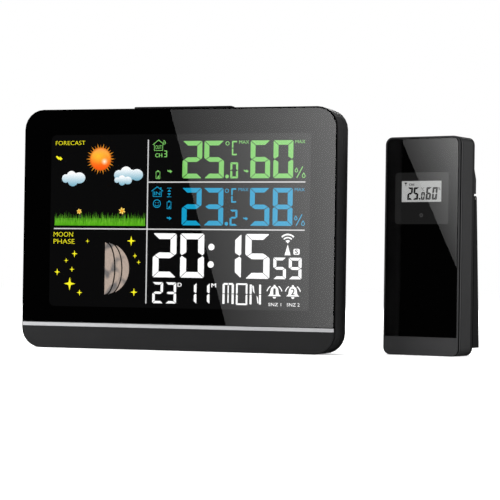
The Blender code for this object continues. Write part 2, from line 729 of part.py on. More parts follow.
def sensor_rear(parent):
    inner = BODY.inset(SENSOR_WALL)
    shell = Solid().loft(
        [
            rect_loop(inner.inset(0.8), S_REAR_WALL),
            rect_loop(inner, S_REAR_WALL - 0.8),
            rect_loop(inner, S_BODY),
            rect_loop(BODY.inset(0.4), S_BODY),
            rect_loop(BODY, S_BODY + 0.4),
            *edge_loops(BODY, SENSOR_DEPTH, -1, 0.6, 2),
        ]
    )
    rear = piece("sensor_rear_shell", shell, "sensor_grey", parent)
    additions = Solid()
    additions.plate(S_POCKET.inset(-1.2), S_POCKET_FLOOR - 1.0, S_REAR_WALL + 0.7)
    block = SENSOR_DEPTH + HANGER_DEPTH
    root = SENSOR_DEPTH - 0.9
    bottom = FLAP_AXIS[1] + FLAP_ROUND + 1.0
    hanger = [(root, bottom), (block, bottom), (block, bottom + 7.6), (root, bottom + 14.5)]
    additions.profile_x(hanger, -FLAP_X, FLAP_X)
    pivot_y, pivot_z = FLAP_AXIS
    for side in (-1, 1):
        ear = [(root, pivot_z - FLAP_ROUND)]
        for k in range(7):
            angle = math.pi * (k / 6 - 0.5)
            ear.append(
                (
                    pivot_y + FLAP_ROUND * math.cos(angle),
                    pivot_z + FLAP_ROUND * math.sin(angle),
                )
            )
        ear.append((root, pivot_z + FLAP_ROUND))
        additions.profile_x(ear, *sorted((side * EAR_X[0], side * EAR_X[1])))
    for x, z in S_SCREW_SPOTS:
        additions.turned(
            "Y", (x, z), [(BOSS_RADIUS, S_BODY + 0.3), (BOSS_RADIUS, S_REAR_WALL + 0.7)], 12
        )
    combine(rear, "UNION", additions)

    cuts = Solid()
    cuts.plate(S_POCKET, S_POCKET_FLOOR, SENSOR_DEPTH + 1)
    cuts.turned(
        "X", FLAP_AXIS, [(FLAP_PIN + 0.25, -EAR_X[1] - 1), (FLAP_PIN + 0.25, EAR_X[1] + 1)], 12
    )
    cuts.plate(centred_rect(*SWITCH_SPOT, 8.0, 3.0), S_REAR_WALL - 1, SENSOR_DEPTH + 1)
    cuts.turned("Y", TRANSMIT_SPOT, [(2.5, S_REAR_WALL - 1), (2.5, SENSOR_DEPTH + 1)], 12)
    keyhole(cuts, 0, 103.0, 3.4, 1.8, 5.0, S_REAR_WALL - 1, SENSOR_DEPTH + 1)
    for k in range(5):
        x = -8.0 + 4.0 * k
        cuts.box(x - 0.8, x + 0.8, 7.0, 13.0, -1.0, 2.0)
    for x, z in S_SCREW_SPOTS:
        profile = [
            (SCREW_RADIUS + GAP, S_BODY - 1),
            (SCREW_RADIUS + GAP, SENSOR_DEPTH - 2.6),
            (SCREW_HEAD_RADIUS + GAP, SENSOR_DEPTH - 2.6),
            (SCREW_HEAD_RADIUS + GAP, SENSOR_DEPTH + 1),
        ]
        cuts.turned("Y", (x, z), profile, 12)
    combine(rear, "DIFFERENCE", cuts)
    for number, (x, z) in enumerate(S_SCREW_SPOTS, 1):
        screw(f"sensor_screw_{number}", x, z, SENSOR_DEPTH - 0.6, S_BODY, parent)


def sensor_power(parent):
    low, high = S_POCKET.bottom + GAP, S_POCKET.top - GAP
    for name, z in (("sensor_contact_bottom", low), ("sensor_contact_top", high - 0.4)):
        plate = Solid().box(
            S_POCKET.left + 0.6, S_POCKET.right - 0.6,
            S_POCKET_FLOOR + 0.6, S_REAR_WALL - 0.4, z, z + 0.4,
        )
        piece(name, plate, "steel", parent)
    first = low + 0.4 + GAP
    last = high - 0.4 - GAP
    centre_left, centre_right = (-S_CELL_X, S_CELL_Y), (S_CELL_X, S_CELL_Y)
    spring("sensor_spring_1", "Z", centre_left, first, first + SPRING_LENGTH, parent)
    cell("sensor_cell_1", "Z", centre_left, first + SPRING_LENGTH + GAP, True, parent)
    spring("sensor_spring_2", "Z", centre_right, last, last - SPRING_LENGTH, parent)
    cell(
        "sensor_cell_2", "Z", centre_right,
        last - SPRING_LENGTH - GAP - CELL_LENGTH, False, parent,
    )
    door = Solid().loft(
        [
            rect_loop(S_DOOR, SENSOR_DEPTH + 0.2),
            rect_loop(S_DOOR, SENSOR_DEPTH + 0.8),
            rect_loop(S_DOOR.inset(0.3), SENSOR_DEPTH + 1.1),
        ]
    )
    piece(
        "sensor_battery_door", door, "sensor_grey", parent, (0, SENSOR_DEPTH + 0.2, S_DOOR.top)
    )


def sensor_controls(parent):
    x, z = SWITCH_SPOT
    slider = Solid().loft(
        [
            rect_loop(centred_rect(x, z, 2.8, 2.4), S_BOARD_BACK + GAP),
            rect_loop(centred_rect(x, z, 2.8, 2.4), SENSOR_DEPTH + 0.5),
            rect_loop(centred_rect(x, z, 2.2, 1.8), SENSOR_DEPTH + 0.9),
        ]
    )
    piece("channel_switch", slider, "part_black", parent, (x, SENSOR_DEPTH, z))
    button = [
        (1.6, S_BOARD_BACK + 1.3),
        (1.6, S_REAR_WALL - 1.4),
        (3.0, S_REAR_WALL - 1.4),
        (3.0, S_REAR_WALL - GAP),
        (2.2, S_REAR_WALL - GAP),
        (2.2, SENSOR_DEPTH + 0.4),
        (1.9, SENSOR_DEPTH + 0.7),
    ]
    piece(
        "transmit_button", Solid().turned("Y", TRANSMIT_SPOT, button, 12), "part_black",
        parent, (TRANSMIT_SPOT[0], SENSOR_DEPTH, TRANSMIT_SPOT[1]),
    )


def sensor_stand(parent):
    """The hollow wedge behind the sensor, hinged at its top on a pin through two ears."""
    flap = piece(
        "sensor_stand", Solid().profile_x(wedge_outline(), -FLAP_X, FLAP_X), "sensor_grey",
        parent, (0, *FLAP_AXIS),
    )
    inside = FLAP_X - FLAP_WALL
    back = SENSOR_DEPTH + WEDGE_FOOT_DEPTH - FLAP_WALL
    pivot_y, pivot_z = FLAP_AXIS
    hollow = [
        (SENSOR_DEPTH - 1, WEDGE_FOOT_HEIGHT - 1),
        (back, WEDGE_FOOT_HEIGHT - 1),
        (back, WEDGE_FOOT_HEIGHT),
        (pivot_y + FLAP_ROUND - FLAP_WALL, pivot_z - 2.0),
        (SENSOR_DEPTH - 1, pivot_z - 2.0),
    ]
    combine(flap, "DIFFERENCE", Solid().profile_x(hollow, -inside, inside))
    knuckles = Solid()
    for side in (-1, 1):
        ends = sorted((side * (EAR_X[0] - 0.4), side * (EAR_X[1] + 0.4)))
        knuckles.box(*ends, SENSOR_DEPTH - 1, SENSOR_DEPTH + 8, pivot_z - 4, pivot_z + 4)
    combine(flap, "DIFFERENCE", knuckles)
    bore = [(FLAP_PIN + 0.25, -FLAP_X - 1), (FLAP_PIN + 0.25, FLAP_X + 1)]
    combine(flap, "DIFFERENCE", Solid().turned("X", FLAP_AXIS, bore, 12))
    pin = [(FLAP_PIN, -FLAP_X + 0.2), (FLAP_PIN, FLAP_X - 0.2)]
    piece("sensor_stand_pin", Solid().turned("X", FLAP_AXIS, pin, 12), "steel", parent)


def main():
    for old in list(bpy.data.objects):
        bpy.data.objects.remove(old)
    console_front()
    console_display()
    console_rear()
    console_power()
    console_controls()

    sensor = bpy.data.objects.new("sensor_frame", None)
    bpy.context.scene.collection.objects.link(sensor)
    sensor.location = Vector((*SENSOR_PLACE, 0)) * MM
    sensor.rotation_euler.z = math.radians(SENSOR_TURN)
    sensor_front(sensor)
    sensor_inside(sensor)
    sensor_rear(sensor)
    sensor_power(sensor)
    sensor_controls(sensor)
    sensor_stand(sensor)


main()
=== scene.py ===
"""Looks of the home weather station: finishes, artwork, small mouldings, studio and camera."""

import json
import math
import random

import bmesh
import bpy
from mathutils import Matrix, Vector, noise


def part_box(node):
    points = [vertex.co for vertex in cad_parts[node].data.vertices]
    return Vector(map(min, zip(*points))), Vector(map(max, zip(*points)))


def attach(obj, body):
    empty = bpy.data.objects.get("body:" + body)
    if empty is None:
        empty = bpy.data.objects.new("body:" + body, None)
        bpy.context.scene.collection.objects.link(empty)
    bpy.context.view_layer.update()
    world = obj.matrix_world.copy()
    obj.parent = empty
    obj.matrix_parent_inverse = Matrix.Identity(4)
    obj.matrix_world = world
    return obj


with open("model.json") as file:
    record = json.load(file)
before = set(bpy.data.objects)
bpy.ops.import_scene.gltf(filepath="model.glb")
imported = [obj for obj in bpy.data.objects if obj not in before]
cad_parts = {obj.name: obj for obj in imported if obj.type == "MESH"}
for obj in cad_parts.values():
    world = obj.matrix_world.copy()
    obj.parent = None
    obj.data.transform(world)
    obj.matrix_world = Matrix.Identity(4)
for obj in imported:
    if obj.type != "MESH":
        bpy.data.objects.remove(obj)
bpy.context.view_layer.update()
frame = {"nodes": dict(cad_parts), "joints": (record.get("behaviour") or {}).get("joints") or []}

MM = 0.001
NODES = frame["nodes"]
FILM = 0.02  # thickness of one layer of display artwork, mm
LENS_IOR = 1.8
CREASE = 32  # edges of a CAD node sharper than this stay sharp, degrees

BAND_REACH = 25  # depth covered by the bands of painted light and shade on a case, mm
RIM_SHIFT = 0.2  # how much nearer those bands start on the console's rim, mm

# Noise on moulded plastic: its scales, per metre
SHADE_SCALE = 45
SHEEN_SCALE = 160
GRAIN_SCALE = 3200
GRAIN_HEIGHT = 0.012  # mm

CONSOLE_WINDOW = (16.25, 14.0, 163.75, 107.25)  # left, top, right and bottom on the face, mm
CONSOLE_WINDOW_ROUND = 3.0

# How each group of artwork is moved (mm) and stretched on its face
SENSOR_LAYOUT = {"move": (-0.2, -0.1), "stretch": (1.011, 1.006)}
FIGURES_LAYOUT = {"move": (-0.45, 0.24), "stretch": (1.0, 1.0088)}
PICTURES_LAYOUT = {"move": (-0.35, 0.57), "stretch": (1.0, 1.0035)}

CARD_GLOW = 14.2  # strength of the mirrored cards
CARD_STEPS = 12
CARD_REACH = 5.0  # times as far from the mirrored eye as the lens is
WINDOW_CARD_REACH = 4.9


# Places, from the frame


def reach_of(node, direction):
    """The least and the greatest distance of a node's surface along a direction."""
    values = [v.co.dot(direction) for v in NODES[node].data.vertices]
    return min(values), max(values)


def face_middle(node, outward):
    """A point of a node's outermost plane, in the middle of its width and at height 0."""
    side = outward.cross(UP)
    return side * sum(reach_of(node, side)) / 2 + outward * reach_of(node, outward)[1]


def face_matrix(corner, inward):
    """Axes of an upright drawn face, from its top left corner: X right, Y up and Z out of it."""
    axes = Matrix((inward.cross(UP), UP, -inward)).transposed().to_4x4()
    return Matrix.Translation(corner) @ axes


UP = Vector((0, 0, 1))
CONSOLE_IN = Vector((0, 1, 0))
CONSOLE_LOW, CONSOLE_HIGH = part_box("console_front_case")
CONSOLE_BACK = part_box("console_rear_cover")[1].y
LENS_LOW, LENS_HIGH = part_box("console_lens")
CONSOLE_LENS_DEPTH = (LENS_HIGH.y - LENS_LOW.y) / MM
CONSOLE_FACE = face_matrix(Vector((CONSOLE_LOW.x, LENS_LOW.y, CONSOLE_HIGH.z)), CONSOLE_IN)

TRANSMIT_PRESS = next(j for j in frame["joints"] if j["name"] == "transmit_press")
SENSOR_IN = -Vector(TRANSMIT_PRESS["axis"])
SENSOR_RIGHT = SENSOR_IN.cross(UP)
SENSOR_LEFT_EDGE, SENSOR_RIGHT_EDGE = reach_of("sensor_front_shell", SENSOR_RIGHT)
SENSOR_FRONT = face_middle("sensor_lens", -SENSOR_IN)
SENSOR_LENS_DEPTH = (face_middle("sensor_lens", SENSOR_IN) - SENSOR_FRONT).length / MM
SENSOR_CORNER = SENSOR_FRONT - SENSOR_RIGHT * (SENSOR_RIGHT_EDGE - SENSOR_LEFT_EDGE) / 2
SENSOR_CORNER.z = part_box("sensor_front_shell")[1].z
SENSOR_FACE = face_matrix(SENSOR_CORNER, SENSOR_IN)


def new_object(name, data):
    made = bpy.data.objects.new(name, data)
    bpy.context.scene.collection.objects.link(made)
    return made


# Camera


EYE = Vector((0.359634, -0.98088, 0.039948))
HEADING = 18.13  # degrees, from +Y towards -X
PITCH = 0.808  # degrees, upwards
ROLL = 0.856  # degrees, anticlockwise
LENS = 139.166  # mm


def make_camera():
    data = bpy.data.cameras.new("camera")
    data.lens = LENS
    data.sensor_width = 36.0
    data.clip_start = 0.01
    data.clip_end = 20.0
    place = Matrix.Translation(EYE)
    for turn, axis in ((HEADING, "Z"), (90 + PITCH, "X"), (ROLL, "Z")):
        place = place @ Matrix.Rotation(math.radians(turn), 4, axis)
    camera = new_object("camera", data)
    camera.matrix_world = place
    bpy.context.scene.camera = camera


def behind(face, depth):
    """A face moved in by depth (mm) and grown, so that it looks the same to the camera."""
    eye = face.inverted() @ EYE
    grow = 1 + depth * MM / eye.z
    shift = Vector((eye.x * (1 - grow), eye.y * (1 - grow), -depth * MM))
    return face @ Matrix.Translation(shift) @ Matrix.Diagonal((grow, grow, 1, 1))


# Materials


def linear(colour):
    """sRGB, 0 to 255, as linear light."""
    values = colour if isinstance(colour, (tuple, list)) else (colour,) * 3
    done = []
    for value in values:
        share = value / 255
        done.append(share / 12.92 if share <= 0.04045 else ((share + 0.055) / 1.055) ** 2.4)
    return tuple(done)


class Network:
    """A node tree, with helpers for its nodes and links."""

    def __init__(self, tree):
        self.tree = tree

    def node(self, kind, **values):
        made = self.tree.nodes.new(kind)
        for key, value in values.items():
            if key in made.inputs:
                made.inputs[key].default_value = value
            else:
                setattr(made, key, value)
        return made

    def link(self, a, b):
        self.tree.links.new(a, b)

    def ranged(self, factor, low, high, start=0.0, end=1.0):
        """A factor that runs from start to end, made to run from low to high."""
        limits = {"From Min": start, "From Max": end, "To Min": low, "To Max": high}
        made = self.node("ShaderNodeMapRange", **limits)
        self.link(factor, made.inputs["Value"])
        return made.outputs["Result"]


class Shader(Network):
    """A Principled material."""

    def __init__(self, name, colour, roughness, metallic=0.0):
        self.material = bpy.data.materials.new(name)
        self.material.use_nodes = True
        super().__init__(self.material.node_tree)
        self.base = self.tree.nodes["Principled BSDF"]
        self.set("Base Color", (*colour, 1))
        self.set("Roughness", roughness)
        self.set("Metallic", metallic)
        self.colour = colour
        self.roughness = roughness

    def set(self, socket, value):
        self.base.inputs[socket].default_value = value

    def steps(self, factor, stops):
        """Plain colours, each from its place (0 to 1) onwards."""
        made = self.node("ShaderNodeValToRGB")
        ramp = made.color_ramp
        ramp.interpolation = "CONSTANT"
        while len(ramp.elements) < len(stops):
            ramp.elements.new(1.0)
        for element, (place, colour) in zip(ramp.elements, stops):
            element.position = place
            element.color = (*colour, 1)
        self.link(factor, made.inputs["Fac"])
        return made.outputs["Color"]

    def coordinates(self, kind="Object", stretch=(1, 1, 1)):
        source = self.node("ShaderNodeTexCoord")
        mapping = self.node("ShaderNodeMapping", Scale=stretch)
        self.link(source.outputs[kind], mapping.inputs["Vector"])
        return mapping.outputs["Vector"]

    def coordinate(self, axis, kind="Object"):
        split = self.node("ShaderNodeSeparateXYZ")
        self.link(self.coordinates(kind), split.inputs["Vector"])
        return split.outputs[axis]

    def noise(self, scale, detail=2.0, stretch=(1, 1, 1)):
        made = self.node("ShaderNodeTexNoise", Scale=scale, Detail=detail)
        self.link(self.coordinates(stretch=stretch), made.inputs["Vector"])
        return made.outputs["Fac"]

    def vary_colour(self, factor, spread):
        """Runs the colour from darker to lighter by a share of itself."""
        ramp = self.node("ShaderNodeValToRGB")
        ramp.color_ramp.elements[0].position = 0.3
        ramp.color_ramp.elements[1].position = 0.7
        for element, side in zip(ramp.color_ramp.elements, (1 - spread, 1 + spread)):
            element.color = (*(c * side for c in self.colour), 1)
        self.link(factor, ramp.inputs["Fac"])
        self.link(ramp.outputs["Color"], self.base.inputs["Base Color"])

    def vary_roughness(self, factor, spread):
        low, high = max(self.roughness - spread, 0.0), self.roughness + spread
        self.link(self.ranged(factor, low, high), self.base.inputs["Roughness"])

    def bump(self, factor, height, strength=1.0):
        made = self.node("ShaderNodeBump", Distance=height * MM, Strength=strength)
        self.link(factor, made.inputs["Height"])
        self.link(made.outputs["Normal"], self.base.inputs["Normal"])


def spark_grain(shader):
    """The fine grain of moulded plastic, and slow variation of its sheen."""
    shader.vary_roughness(shader.noise(SHEEN_SCALE, 4.0), 0.06)
    shader.bump(shader.noise(GRAIN_SCALE, 3.0), GRAIN_HEIGHT, 0.5)


def moulded(name, colour, roughness, shine=0.35):
    shader = Shader(name, colour, roughness)
    shader.set("Specular IOR Level", shine)
    shader.vary_colour(shader.noise(SHADE_SCALE, 3.0), 0.10)
    spark_grain(shader)
    return shader.material


def depth_behind(shader, inward, front):
    """Depth behind a front plane, 0 to 1 over BAND_REACH."""
    length = shader.node("ShaderNodeVectorMath", operation="DOT_PRODUCT")
    shader.link(shader.coordinates(), length.inputs[0])
    length.inputs[1].default_value = inward
    return shader.ranged(length.outputs["Value"], 0, 1, front, front + BAND_REACH * MM)


def shifted_above(shader, depth, height):
    """The same depth, but RIM_SHIFT greater above a height."""
    above = shader.node("ShaderNodeMath", operation="GREATER_THAN")
    above.inputs[1].default_value = height
    shader.link(shader.coordinate("Z"), above.inputs[0])
    shifted = shader.node("ShaderNodeMath", operation="MULTIPLY_ADD")
    shifted.inputs[1].default_value = RIM_SHIFT / BAND_REACH
    shader.link(above.outputs["Value"], shifted.inputs[0])
    shader.link(depth, shifted.inputs[2])
    return shifted.outputs["Value"]


def banded_painted_light(name, inward, front, stops, rim_above=None):
    """Moulded plastic with painted light and shade: its grey changes in bands with depth (mm)
    behind a front plane, painting dark lines of shade and highlights along the case.
    Above a height, the bands start nearer, so that the thin rim takes the second one, on the
    console a painted dark line of shade."""
    shader = Shader(name, (stops[0][1],) * 3, 0.5)
    shader.set("Specular IOR Level", 0.22)
    depth = depth_behind(shader, inward, front)
    if rim_above is not None:
        depth = shifted_above(shader, depth, rim_above)
    colours = [(place / BAND_REACH, (shade, shade, shade * 1.03)) for place, shade in stops]
    mixed = shader.node("ShaderNodeVectorMath", operation="SCALE")
    shader.link(shader.steps(depth, colours), mixed.inputs[0])
    shader.link(shader.ranged(shader.noise(SHADE_SCALE, 3.0), 0.88, 1.12), mixed.inputs["Scale"])
    shader.link(mixed.outputs["Vector"], shader.base.inputs["Base Color"])
    spark_grain(shader)
    return shader.material


def metal(name, colour, roughness, stretch=(1, 1, 1), metallic=1.0, scale=900):
    shader = Shader(name, colour, roughness, metallic)
    streaks = shader.noise(scale, 4.0, stretch)
    shader.vary_colour(streaks, 0.08)
    shader.vary_roughness(streaks, 0.08)
    shader.bump(streaks, 0.004, 0.4)
    return shader.material


def clear_lens(name):
    shader = Shader(name, (1, 1, 1), 0.0)
    shader.set("Transmission Weight", 1.0)
    shader.set("IOR", LENS_IOR)
    return shader.material


def print_black():
    shader = Shader("print_black", (0.0008, 0.0008, 0.0009), 0.6)
    shader.set("Specular IOR Level", 0.0)
    shader.vary_colour(shader.noise(60), 0.1)
    return shader.material


def glowing(name, colour, glow):
    """A backlit or reflective panel: its own colour, and a faint even light of its own. On a
    backlit panel that light is its backlight; on a reflective panel, and on the sensor's smoked
    window, it is painted light in place of lamp light.
    """
    shader = Shader(name, colour, 0.6)
    shader.set("Specular IOR Level", 0.0)
    shader.vary_colour(shader.noise(80), 0.04)
    shader.set("Emission Color", (*colour, 1))
    shader.set("Emission Strength", glow)
    return shader.material


def tinted(shader, socket):
    """Gives a socket the colour that each vertex of the artwork carries."""
    source = shader.node("ShaderNodeAttribute", attribute_name="ink")
    shader.link(source.outputs["Color"], shader.base.inputs[socket])
    return shader.material


def ink(name, strength):
    """Artwork that glows in its own colours, and is black besides. On the console's backlit display
    the glow is its own light; on the sensor's display and indicator it is painted light; on the
    mirrored cards it is the studio's light.
    """
    shader = Shader(name, (0.0, 0.0, 0.0), 0.7)
    shader.set("Specular IOR Level", 0.0)
    shader.set("Emission Strength", strength)
    return tinted(shader, "Emission Color")


def print_and_painted_shade(name):
    """Matt printing; also the painted shade on the screw heads."""
    return tinted(Shader(name, (0.0, 0.0, 0.0), 0.6), "Base Color")


def circuit_board():
    shader = Shader("board_green", (0.015, 0.12, 0.05), 0.35)
    tracks = shader.node(
        "ShaderNodeTexBrick", Scale=90.0, Color1=(0.012, 0.11, 0.045, 1),
        Color2=(0.016, 0.13, 0.05, 1), Mortar=(0.03, 0.2, 0.09, 1),
    )
    shader.link(shader.coordinates(), tracks.inputs["Vector"])
    shader.link(tracks.outputs["Color"], shader.base.inputs["Base Color"])
    shader.bump(tracks.outputs["Fac"], 0.03)
    return shader.material


BARE_METAL = (0.5, 0.5, 0.5)
SLEEVE_STOPS = (  # along a cell, 0 to 1
    (0.0, BARE_METAL), (0.03, (0.02, 0.025, 0.03)), (0.72, (0.5, 0.24, 0.08)), (0.97, BARE_METAL),
)


def cell_sleeve(axis):
    """Printed sleeve with a copper-coloured shoulder; bare metal ends."""
    shader = Shader(f"cell_sleeve_{axis}", (0.05, 0.07, 0.1), 0.3, 0.3)
    colour = shader.steps(shader.coordinate(axis, "Generated"), SLEEVE_STOPS)
    shader.link(colour, shader.base.inputs["Base Color"])
    shader.vary_roughness(shader.noise(400), 0.05)
    return shader.material


def dress(material, *names):
    """Gives a finish to CAD nodes."""
    for name in names:
        mesh = NODES[name].data
        mesh.materials.clear()
        mesh.materials.append(material)
        mesh.shade_smooth()
        mesh.set_sharp_from_angle(angle=math.radians(CREASE))


# Pieces


def mesh_of(bm, name):
    bmesh.ops.recalc_face_normals(bm, faces=bm.faces)
    mesh = bpy.data.meshes.new(name)
    bm.to_mesh(mesh)
    bm.free()
    return mesh


def add(name, bm, material, body, matrix=None):
    """A piece of the scene that rides on a CAD body."""
    made = new_object(name, mesh_of(bm, name))
    made.data.materials.append(material)
    if matrix is not None:
        made.matrix_world = matrix
    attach(made, body)


def shrink(points, distance):
    """A convex outline drawn in by a distance on every side."""
    sides = list(zip(points, points[1:] + points[:1]))
    turn = 1 if sum(a[0] * b[1] - b[0] * a[1] for a, b in sides) > 0 else -1
    lines = []
    for a, b in sides:
        dx, dy = b[0] - a[0], b[1] - a[1]
        length = math.hypot(dx, dy)
        nx, ny = -dy / length * turn, dx / length * turn
        lines.append((a[0] + nx * distance, a[1] + ny * distance, dx, dy))
    result = []
    for (ax, ay, adx, ady), (bx, by, bdx, bdy) in zip(lines[-1:] + lines[:-1], lines):
        cross = adx * bdy - ady * bdx
        if abs(cross) < 1e-9:  # a straight bend
            result.append((bx, by))
            continue
        along = ((bx - ax) * bdy - (by - ay) * bdx) / cross
        result.append((ax + adx * along, ay + ady * along))
    return result


def polar(cx, cy, radius, angle):
    """The point in a direction (radians, clockwise on the face from its right) from a centre."""
    return (cx + radius * math.cos(angle), cy + radius * math.sin(angle))


def arc(cx, cy, radius, start, end, steps):
    """Points of an arc; its angles are in degrees."""
    return [
        polar(cx, cy, radius, math.radians(start + (end - start) * k / steps))
        for k in range(steps + 1)
    ]


def circle(cx, cy, radius, steps):
    return arc(cx, cy, radius, 0, 360, steps)[:-1]


def rounded(x0, y0, x1, y1, radius, steps):
    """The outline of a box with rounded corners, from the end of its top edge."""
    corners = (
        (x1 - radius, y0 + radius, -90), (x1 - radius, y1 - radius, 0),
        (x0 + radius, y1 - radius, 90), (x0 + radius, y0 + radius, 180),
    )
    return [p for cx, cy, start in corners for p in arc(cx, cy, radius, start, start + 90, steps)]


def ring_faces(bm, loops):
    """Quads between each loop of vertices and the next."""
    for near, far in zip(loops, loops[1:]):
        for i in range(len(near)):
            j = (i + 1) % len(near)
            bm.faces.new((near[i], near[j], far[j], far[i]))


SEGMENTS = {
    "0": "abcdef", "1": "bc", "2": "abdeg", "3": "abcdg", "4": "bcfg", "5": "acdfg",
    "6": "acdefg", "7": "abc", "8": "abcdefg", "9": "abcdfg",
}


class Ink:
    """Display artwork, drawn in millimetres to the right of a face's top left corner and down."""

    def __init__(self, move=(0, 0), stretch=(1, 1)):
        self.move = move
        self.stretch = stretch
        self.bm = bmesh.new()
        self.tint = self.bm.verts.layers.float_color.new("ink")

    def vertex(self, x, y, height, colour):
        right = x * self.stretch[0] + self.move[0]
        down = y * self.stretch[1] + self.move[1]
        made = self.bm.verts.new((right * MM, -down * MM, height * MM))
        shade = colour(x, y) if callable(colour) else colour
        made[self.tint] = (*linear(shade), 1)
        return made

    def patch(self, loops, colour, layer=0, centre=None):
        """A raised patch; its loops run from the outline inwards, to a centre or a flat top."""
        height = FILM * (layer + 1)
        base = [self.vertex(x, y, 0, colour) for x, y in loops[0]]
        rows = [[self.vertex(x, y, height, colour) for x, y in loop] for loop in loops]
        self.bm.faces.new(base)
        ring_faces(self.bm, [base, *rows])
        if centre is None:
            self.bm.faces.new(rows[-1])
            return
        middle = self.vertex(*centre, height, colour)
        for a, b in zip(rows[-1], rows[-1][1:] + rows[-1][:1]):
            self.bm.faces.new((a, b, middle))

    def polygon(self, points, colour, layer=0, at=(0, 0)):
        self.patch([[(at[0] + x, at[1] + y) for x, y in points]], colour, layer)

    def box(self, x0, y0, x1, y1, colour):
        self.polygon([(x0, y0), (x1, y0), (x1, y1), (x0, y1)], colour)

    def disc(self, cx, cy, rx, colour, layer=0, ry=None, rings=1, sides=28):
        """A round or oval patch; rings carry a colour that changes across it."""
        ry = ry or rx
        loops = []
        for k in range(rings):
            ring = circle(0, 0, 1 - k / rings, sides)
            loops.append([(cx + rx * x, cy + ry * y) for x, y in ring])
        self.patch(loops, colour, layer, (cx, cy))

    def stroke(self, points, width, colour, layer=0, closed=False):
        """A line of one width; its bends are filled with small discs."""
        ends = points + points[:1] if closed else points
        for a, b in zip(ends, ends[1:]):
            dx, dy = b[0] - a[0], b[1] - a[1]
            length = math.hypot(dx, dy)
            nx, ny = -dy / length * width / 2, dx / length * width / 2
            corners = [
                (a[0] + nx, a[1] + ny), (b[0] + nx, b[1] + ny),
                (b[0] - nx, b[1] - ny), (a[0] - nx, a[1] - ny),
            ]
            self.polygon(corners, colour, layer)
        for x, y in points if closed else points[1:-1]:
            self.disc(x, y, width / 2, colour, layer, sides=8)

    def text(self, words, x0, y0, x1, y1, colour, layer=0, bold=0.0, thin=0.0):
        """Plain lettering fitted to a box; bold (mm) prints it twice, side by side, and thin (in
        letter heights) pares its strokes on both sides."""
        if bold:
            self.text(words, x0 + bold, y0, x1, y1, colour, layer)
            x1 -= bold
        curve = bpy.data.curves.new("words", "FONT")
        curve.body = words
        curve.extrude = 0.05  # tells the front of a letter from its back
        curve.offset = -thin
        curve.resolution_u = 3
        carrier = new_object("words", curve)
        bpy.context.view_layer.update()
        made = bpy.data.meshes.new_from_object(
            carrier.evaluated_get(bpy.context.evaluated_depsgraph_get())
        )
        bpy.data.objects.remove(carrier)
        bpy.data.curves.remove(curve)
        xs = [v.co.x for v in made.vertices]
        ys = [v.co.y for v in made.vertices]
        grow_x = (x1 - x0) / (max(xs) - min(xs))
        grow_y = (y1 - y0) / (max(ys) - min(ys))
        height = FILM * (layer + 1)
        spots = []
        for v in made.vertices:
            x = x0 + (v.co.x - min(xs)) * grow_x
            y = y1 - (v.co.y - min(ys)) * grow_y
            spots.append(self.vertex(x, y, height if v.co.z > 0 else 0, colour))
        for polygon in made.polygons:
            corners = [spots[i] for i in polygon.vertices]
            if len(set(corners)) > 2 and self.bm.faces.get(corners) is None:
                self.bm.faces.new(corners)
        bpy.data.meshes.remove(made)

    def digit(self, sign, x0, y0, x1, y1, colour, stroke=0.27, gap=0.3, slant=0.0):
        """A seven-segment figure; stroke is the thickness of its bars as a share of its width."""
        w, h = x1 - x0, y1 - y0
        t = w * stroke
        bar = t * 0.9
        cut = t * 0.22
        mid = h / 2
        tip = t * 0.28
        top = [
            (cut / 2, cut / 2), (cut, 0), (w - cut, 0), (w - cut / 2, cut / 2),
            (w - t, bar), (t, bar),
        ]
        upper_left = [
            (cut / 2, cut / 2), (t, bar), (t, mid - bar / 2), (tip, mid), (0, mid - tip), (0, cut),
        ]
        middle = [
            (tip, mid), (t, mid - bar / 2), (w - t, mid - bar / 2),
            (w - tip, mid), (w - t, mid + bar / 2), (t, mid + bar / 2),
        ]

        def across(outline):
            return [(w - x, y) for x, y in outline]

        def over(outline):
            return [(x, h - y) for x, y in outline]

        shapes = {
            "a": top, "f": upper_left, "g": middle, "d": over(top),
            "b": across(upper_left), "e": over(upper_left), "c": over(across(upper_left)),
        }
        for segment in SEGMENTS[sign]:
            outline = shrink(shapes[segment], gap / 2)
            leaning = [(x + slant * (h - y), y) for x, y in outline]
            self.polygon(leaning, colour, at=(x0, y0))


DARK = (14, 14, 14)
GREEN = (125, 198, 102)
BLUE = (20, 152, 195)
WHITE = (255, 255, 255)
YELLOW = (255, 246, 40)
RULE = (206, 206, 206)


def trend_arrow(art, x, y, colour):
    """A small arrow to the right with a notched tail."""
    shape = [
        (0, 0.1), (0.9, 0.55), (1.5, 0.45), (1.4, 0.0), (2.9, 0.95),
        (1.7, 1.9), (1.5, 1.3), (0.9, 1.25), (0.3, 1.0),
    ]
    art.polygon(shape, colour, at=(x, y))


def battery_sign(art, x, y, width, height, colour):
    lid = 0.6
    right, low = x + width, y + height
    art.stroke([(x, y + lid), (right, y + lid), (right, low), (x, low)], 0.27, colour, closed=True)
    art.box(x + width * 0.3, y - 0.1, x + width * 0.7, y + lid, colour)
    charge = [(x + 0.5, low - 0.4), (right - 0.5, y + height * 0.55), (right - 0.5, low - 0.4)]
    art.polygon(charge, colour)


def house_sign(art, x, y, width, height, words, colour):
    """A gabled house outline with a word in it."""
    eaves, low = y + height * 0.46, y + height
    art.stroke([(x, eaves), (x + width / 2, y), (x + width, eaves)], 0.36, colour)
    left, right = x + width * 0.14, x + width * 0.86
    walls = [(left, eaves - 0.2), (left, low), (right, low), (right, eaves - 0.2)]
    art.stroke(walls, 0.28, colour)
    art.text(words, left + 0.6, y + height * 0.5, right - 0.6, y + height * 0.86, colour)


def drop_sign(art, x, y, size, colour):
    points = [(x, y - size)] + arc(x, y + size * 0.25, size * 0.62, -35, 215, 14)
    art.stroke(points, 0.4, colour, closed=True)


